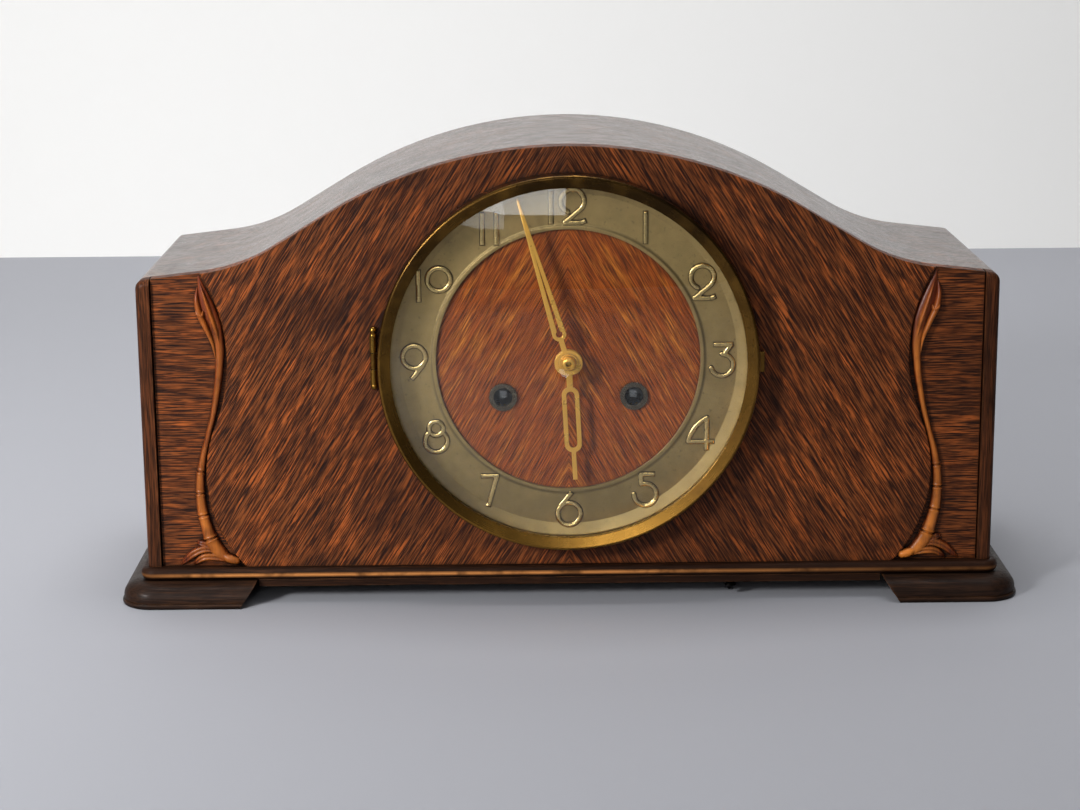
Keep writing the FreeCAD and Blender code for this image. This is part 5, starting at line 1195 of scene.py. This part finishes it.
@dataclass
class Bezel:
    """The hinged brass bezel with its domed glass, and the brass of the door's hinges."""

    wardrobe: Wardrobe
    brass: MetalFinish = MetalFinish(
        "bezel_brass", bright=0x84602A, dull=0x4A3418, dark=0x1E150B, tarnish=0.8, rough=0.24,
        turning=Turning.LATHE,
        # Painted highlight: brighter gold towards the bezel's bottom; painted shade: darker towards its top.
        rubs=(Rub(Axis.HEIGHT, 62.0, 42.0, -80.0, 0x9C7230, 0.8),
              Rub(Axis.HEIGHT, 120.0, 195.0, 500.0, 0x2C2012, 0.95)))
    hinge: MetalFinish = MetalFinish("hinge_brass", bright=0x96702F, dull=0x5E461F, tarnish=0.7)
    inner: MetalFinish = MetalFinish(
        "rim_brass", bright=0xC79C4C, dull=0x8A6A34, tarnish=0.5, rough=0.26, turning=Turning.LATHE)
    glass: GlassFinish = GlassFinish("glass")

    def build(self) -> None:
        """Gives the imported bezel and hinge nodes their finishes."""
        dress = self.wardrobe.dress
        dress(self.brass, "bezel")
        dress(self.inner, "glass_ring")
        dress(self.hinge, "bezel_hinge", "door_hinges", "door_leaves", "door_knob")
        dress(self.glass, "glass")


@dataclass
class DoorScrews:
    """Slotted screws that hold the hinge leaves of the back door, in millimetres and degrees."""

    wardrobe: Wardrobe
    radius: float = 2.1
    crown: float = 0.75
    slot_half: float = 0.3
    slot_depth: float = 0.45
    reach: Place = (2.3, 2.3)
    cell: float = 0.12
    face: float = 83.65
    fixed_x: float = -132.2
    moving_x: float = -118.6
    heights: tuple[float, ...] = (66.0, 79.0, 130.0, 143.0)
    turns: tuple[float, ...] = (20.0, 65.0, 110.0, 35.0)
    moving_turn: float = 50.0
    finish: MetalFinish = MetalFinish("screw_brass", bright=0x9A7638, dull=0x5E4824, tarnish=0.7, rough=0.34)

    def screw(self, name: str, body: str, x: float, z: float, turn: float) -> None:
        """Builds one screw head facing backwards.

        Args:
            name: Name of the screw.
            body: Body that carries it.
            x: Sideways place.
            z: Height.
            turn: Angle of the slot.
        """
        angle = math.radians(turn)

        def depth(u: np.ndarray, v: np.ndarray) -> np.ndarray:
            """Depth inside the round head."""
            return self.radius - np.hypot(u, v)

        def rise(held: np.ndarray, u: np.ndarray, v: np.ndarray) -> np.ndarray:
            """Height of a low dome with a slot across it.

            Args:
                held: Depth inside the head.
                u: Sideways places.
                v: Upright places.

            Returns:
                Height at each place.
            """
            dome = self.crown * np.sqrt(1.0 - (1.0 - np.clip(held / self.radius, 0.0, 1.0)) ** 2)
            across = np.abs(u * math.sin(angle) - v * math.cos(angle))
            return np.maximum(dome - self.slot_depth * (across < self.slot_half), 0.0)

        def seat(u: np.ndarray, v: np.ndarray) -> np.ndarray:
            """The leaf's face, before the turn to the back."""
            return np.full_like(u, -self.face)

        mesh = Relief(self.reach, self.cell, rise, seat).mesh(name, depth, (-x, z))
        mesh.transform(Matrix.Rotation(math.pi, 4, "Z"))
        for _ in range(Relief.SLOTS):
            mesh.materials.append(self.wardrobe.get(self.finish))
        seated(name, mesh, body)

    def build(self) -> None:
        """Builds the screws of the fixed and the moving leaves."""
        for number, (z, turn) in enumerate(zip(self.heights, self.turns), 1):
            self.screw(f"frame_screw_{number}", "case", self.fixed_x, z, turn)
            self.screw(f"door_screw_{number}", "door", self.moving_x, z, turn + self.moving_turn)


@dataclass
class MinuteHand:
    """The minute hand, with a narrow slit that ends in an eye, in millimetres and degrees."""

    wardrobe: Wardrobe
    length: float = 91.0
    boss: float = 7.4
    bore: float = 2.6
    neck_half: float = 1.4
    eye_at: float = 16.8
    eye: float = 1.75
    half: float = 3.7
    tip_half: float = 0.5
    slit_half: float = 0.8
    slit_end: float = 62.0
    face: float = -79.15
    thick: float = 0.9
    ease: float = 0.15
    angle: float = -16.6
    boss_steps: int = 64
    end_steps: int = 14
    hole_steps: int = 32
    finish: MetalFinish = MetalFinish(
        "minute_brass", bright=0xE8B050, dull=0xC08C3C, tarnish=0.3, rough=0.32, metal=0.6)

    @staticmethod
    def gap(half: float, radius: float) -> float:
        """Angle that half a cut takes up on a circle."""
        return math.degrees(math.asin(half / radius))

    @staticmethod
    def arc(middle: float, radius: float, start: float, end: float, steps: int) -> list[Place]:
        """Points along an arc about a place on the hand's middle line, sideways and along."""
        angles = np.radians(np.linspace(start, end, steps))
        return [(float(radius * np.cos(a)), float(middle + radius * np.sin(a))) for a in angles]

    def loops(self) -> list[list[Place]]:
        """Outline of the hand, then its openings.

        Returns:
            Closed loops of points.
        """
        boss_gap = self.gap(self.neck_half, self.boss)
        end_gap = self.gap(self.neck_half, self.half)
        slit_gap = self.gap(self.slit_half, self.eye)
        outline = self.arc(0.0, self.boss, 90.0 + boss_gap, 450.0 - boss_gap, self.boss_steps)
        outline += self.arc(self.eye_at, self.half, end_gap - 90.0, 0.0, self.end_steps)
        outline += [(self.tip_half, self.length), (-self.tip_half, self.length)]
        outline += self.arc(self.eye_at, self.half, 180.0, 270.0 - end_gap, self.end_steps)
        slit = self.arc(self.eye_at, self.eye, 90.0 + slit_gap, 450.0 - slit_gap, self.hole_steps)
        bore = self.arc(0.0, self.bore, 0.0, 360.0 - 360.0 / self.hole_steps, self.hole_steps)
        return [outline, slit + [(0.0, self.slit_end)], bore]

    def build(self) -> None:
        """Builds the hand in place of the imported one."""
        curve = bpy.data.curves.new("minute_outline", "CURVE")
        curve.dimensions = "2D"
        curve.fill_mode = "BOTH"
        curve.extrude = self.thick / 2 - self.ease
        curve.bevel_depth = self.ease
        curve.offset = -self.ease
        for loop in self.loops():
            spline = curve.splines.new("POLY")
            spline.points.add(len(loop) - 1)
            for point, (x, z) in zip(spline.points, loop):
                point.co = (x, z, 0.0, 1.0)
            spline.use_cyclic_u = True
        holder = bpy.data.objects.new("minute_outline", curve)
        mesh = bpy.data.meshes.new_from_object(holder)
        bpy.data.objects.remove(holder)
        bpy.data.curves.remove(curve)
        mesh.name = "minute_blade"
        stand = Matrix.Rotation(math.pi / 2, 4, "X")
        seat = Matrix.Translation((DIAL_CENTRE[0], self.face + self.thick / 2, DIAL_CENTRE[1]))
        turn = Matrix.Rotation(math.radians(self.angle), 4, "Y")
        mesh.transform(Matrix.Scale(MM, 4) @ seat @ turn @ stand)
        mesh.materials.clear()
        mesh.materials.append(self.wardrobe.get(self.finish))
        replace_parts(seated("minute_blade", mesh, "minute"), "minute_hand")


@dataclass
class Movement:
    """The two-train movement with its hands, pendulum and gong."""

    wardrobe: Wardrobe
    gilt: MetalFinish = MetalFinish(
        "hand_brass", bright=0xE8B050, dull=0xC08C3C, tarnish=0.5, rough=0.32, metal=0.6)
    plate: MetalFinish = MetalFinish("plate_brass", bright=0xC79F55, dull=0x9A7A40, rough=0.34)
    wheel: MetalFinish = MetalFinish("wheel_brass", bright=0xD2AA5C, dull=0xA5823F, tarnish=0.5, rough=0.28)
    steel: MetalFinish = MetalFinish("steel", bright=0xB9BABB, dull=0x86888A, dark=0x3A3633, tarnish=0.5)
    dark: MetalFinish = MetalFinish("dark_steel", bright=0x8C8E92, dull=0x5A5C60, dark=0x161412)
    spring: MetalFinish = MetalFinish(
        "spring_steel", bright=0x7D8794, dull=0x4B525C, dark=0x1E2026, tarnish=0.5, rough=0.26)
    iron: MetalFinish = MetalFinish(
        "cast_iron", bright=0x4A4744, dull=0x2E2B29, dark=0x171514, tarnish=0.8, rough=0.62)
    bob: MetalFinish = MetalFinish("bob_brass", bright=0xD8AF5E, dull=0xA88443, tarnish=0.5, rough=0.22)

    def build(self) -> None:
        """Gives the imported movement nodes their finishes."""
        dress = self.wardrobe.dress
        dress(self.gilt, "hour_hand", "hand_nut")
        dress(self.plate, "front_plate", "back_plate", "suspension_cock")
        dress(self.wheel, "time_barrel", "strike_barrel", "time_second_wheel", "strike_second_wheel",
              "centre_wheel", "third_wheel", "escape_wheel", "pin_wheel", "stop_wheel", "warning_wheel",
              "fly", "cannon_pinion", "minute_wheel", "hour_wheel", "hammer_heads")
        dress(self.steel, "plate_pillars", "movement_posts", "anchor", "hammer_arbor", "gong_rods",
              "pendulum_rod")
        dress(self.dark, "time_winding_arbor", "strike_winding_arbor", "time_click", "strike_click")
        dress(self.spring, "time_mainspring", "strike_mainspring", "suspension_spring")
        dress(self.iron, "gong_block")
        dress(self.bob, "pendulum_bob", "rating_nut")


@dataclass(frozen=True)
class Lamp:
    """A soft square lamp, in metres, watts and degrees."""

    name: str
    place: Point
    aim: Point
    power: float
    size: float
    spread: float = 180.0

    def build(self) -> None:
        """Hangs the lamp and turns it to its aim."""
        light = bpy.data.lights.new(self.name, "AREA")
        light.energy = self.power
        light.size = self.size
        light.spread = math.radians(self.spread)
        holder = bpy.data.objects.new(self.name, light)
        bpy.context.scene.collection.objects.link(holder)
        holder.location = self.place
        way = Vector(self.aim) - Vector(self.place)
        holder.rotation_euler = way.to_track_quat("-Z", "Y").to_euler()


@dataclass
class Studio:
    """Floor, backdrop, lamps and camera, in metres and degrees."""

    wardrobe: Wardrobe
    half: float = 8.0
    wall_y: float = 1.06
    wall_height: float = 3.0
    floor: RoomFinish = RoomFinish("floor", 0x9C9DA3)
    wall: RoomFinish = RoomFinish("backdrop", 0xF2F1EE)
    sky_colour: int = 0xF4F6FA
    sky_up: Ramp = Ramp(0.0, 0.9, 0.1, 0.5)
    sky_back: Ramp = Ramp(-0.2, 0.8, 0.0, 0.2)
    sky_side: Ramp = Ramp(-0.5, 0.7, 1.2, 0.35)
    eye: Point = (-0.0197, -1.27775, 0.3911)
    heading: float = -0.214
    pitch: float = 13.23
    roll: float = -0.499
    lens: float = 77.84
    sensor: float = 36.0
    lamps: tuple[Lamp, ...] = (
        Lamp("key", (-1.1, -1.2, 0.72), (-0.62, 0.0, 0.08), 8.5, 0.3, 88.0),
        Lamp("window", (-0.72, -2.9, 0.86), (0.0, 0.0, 0.15), 2.2, 0.6),
        Lamp("skylight", (-0.22, -2.1, 0.78), (0.0, 0.0, 0.1), 3.4, 0.5),
        Lamp("wall_wash", (0.0, 0.2, 2.2), (0.0, 1.06, 0.5), 30.0, 1.2),
    )

    def surface(self, finish: RoomFinish, low: Point, high: Point) -> None:
        """Adds one plain surface of the room.

        Args:
            finish: Its finish, which also names it.
            low: First corner.
            high: Opposite corner.
        """
        corners = [low, (high[0], low[1], low[2]), high, (low[0], high[1], high[2])]
        mesh = bpy.data.meshes.new(finish.name)
        mesh.from_pydata(corners, [], [(0, 1, 2, 3)])
        mesh.materials.append(self.wardrobe.get(finish))
        made = bpy.data.objects.new(finish.name, mesh)
        bpy.context.scene.collection.objects.link(made)

    def sky(self) -> None:
        """Lights the room softly, brighter from above, behind and the left."""
        world = bpy.data.worlds.new("room")
        world.use_nodes = True
        ground = world.node_tree.nodes["Background"]
        ground.inputs[0].default_value = tone(self.sky_colour)
        sheet = NodeSheet(world.node_tree)
        side, back, up = sheet.split(sheet.node("TexCoord").outputs["Generated"])
        light = sheet.math("ADD", sheet.span(up, self.sky_up), sheet.span(back, self.sky_back))
        sheet.feed(ground.inputs[1], sheet.times(light, sheet.span(side, self.sky_side)))
        bpy.context.scene.world = world

    def camera(self) -> None:
        """Sets the camera at the photograph's angle."""
        heading, pitch, roll = (math.radians(a) for a in (self.heading, self.pitch, self.roll))
        flat = math.cos(pitch)
        back = Vector((math.sin(heading) * flat, -math.cos(heading) * flat, math.sin(pitch)))
        level = Vector((math.cos(heading), math.sin(heading), 0.0))
        rise = back.cross(level)
        right = level * math.cos(roll) + rise * math.sin(roll)
        up = rise * math.cos(roll) - level * math.sin(roll)
        data = bpy.data.cameras.new("camera")
        data.lens = self.lens
        data.sensor_width = self.sensor
        holder = bpy.data.objects.new("camera", data)
        bpy.context.scene.collection.objects.link(holder)
        turn = Matrix((right, up, back)).transposed()
        holder.matrix_world = Matrix.Translation(Vector(self.eye)) @ turn.to_4x4()
        bpy.context.scene.camera = holder

    def build(self) -> None:
        """Builds the room, the light and the camera."""
        bpy.context.scene.view_settings.view_transform = "Standard"
        half, wall = self.half, self.wall_y
        self.surface(self.floor, (-half, -half, 0.0), (half, half, 0.0))
        self.surface(self.wall, (-half, wall, 0.0), (half, wall, self.wall_height))
        self.sky()
        for lamp in self.lamps:
            lamp.build()
        self.camera()


def main() -> None:
    """Builds the clock's looks in order."""
    logging.basicConfig(level=logging.INFO, format="%(message)s")
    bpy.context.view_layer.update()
    wardrobe = Wardrobe(Effects())
    for assembly in (Studio, WoodCase, Dial, Bezel, DoorScrews, MinuteHand, Movement):
        assembly(wardrobe).build()
        LOG.info("finished %s", assembly.__name__)


if __name__ == "__main__":
    main()
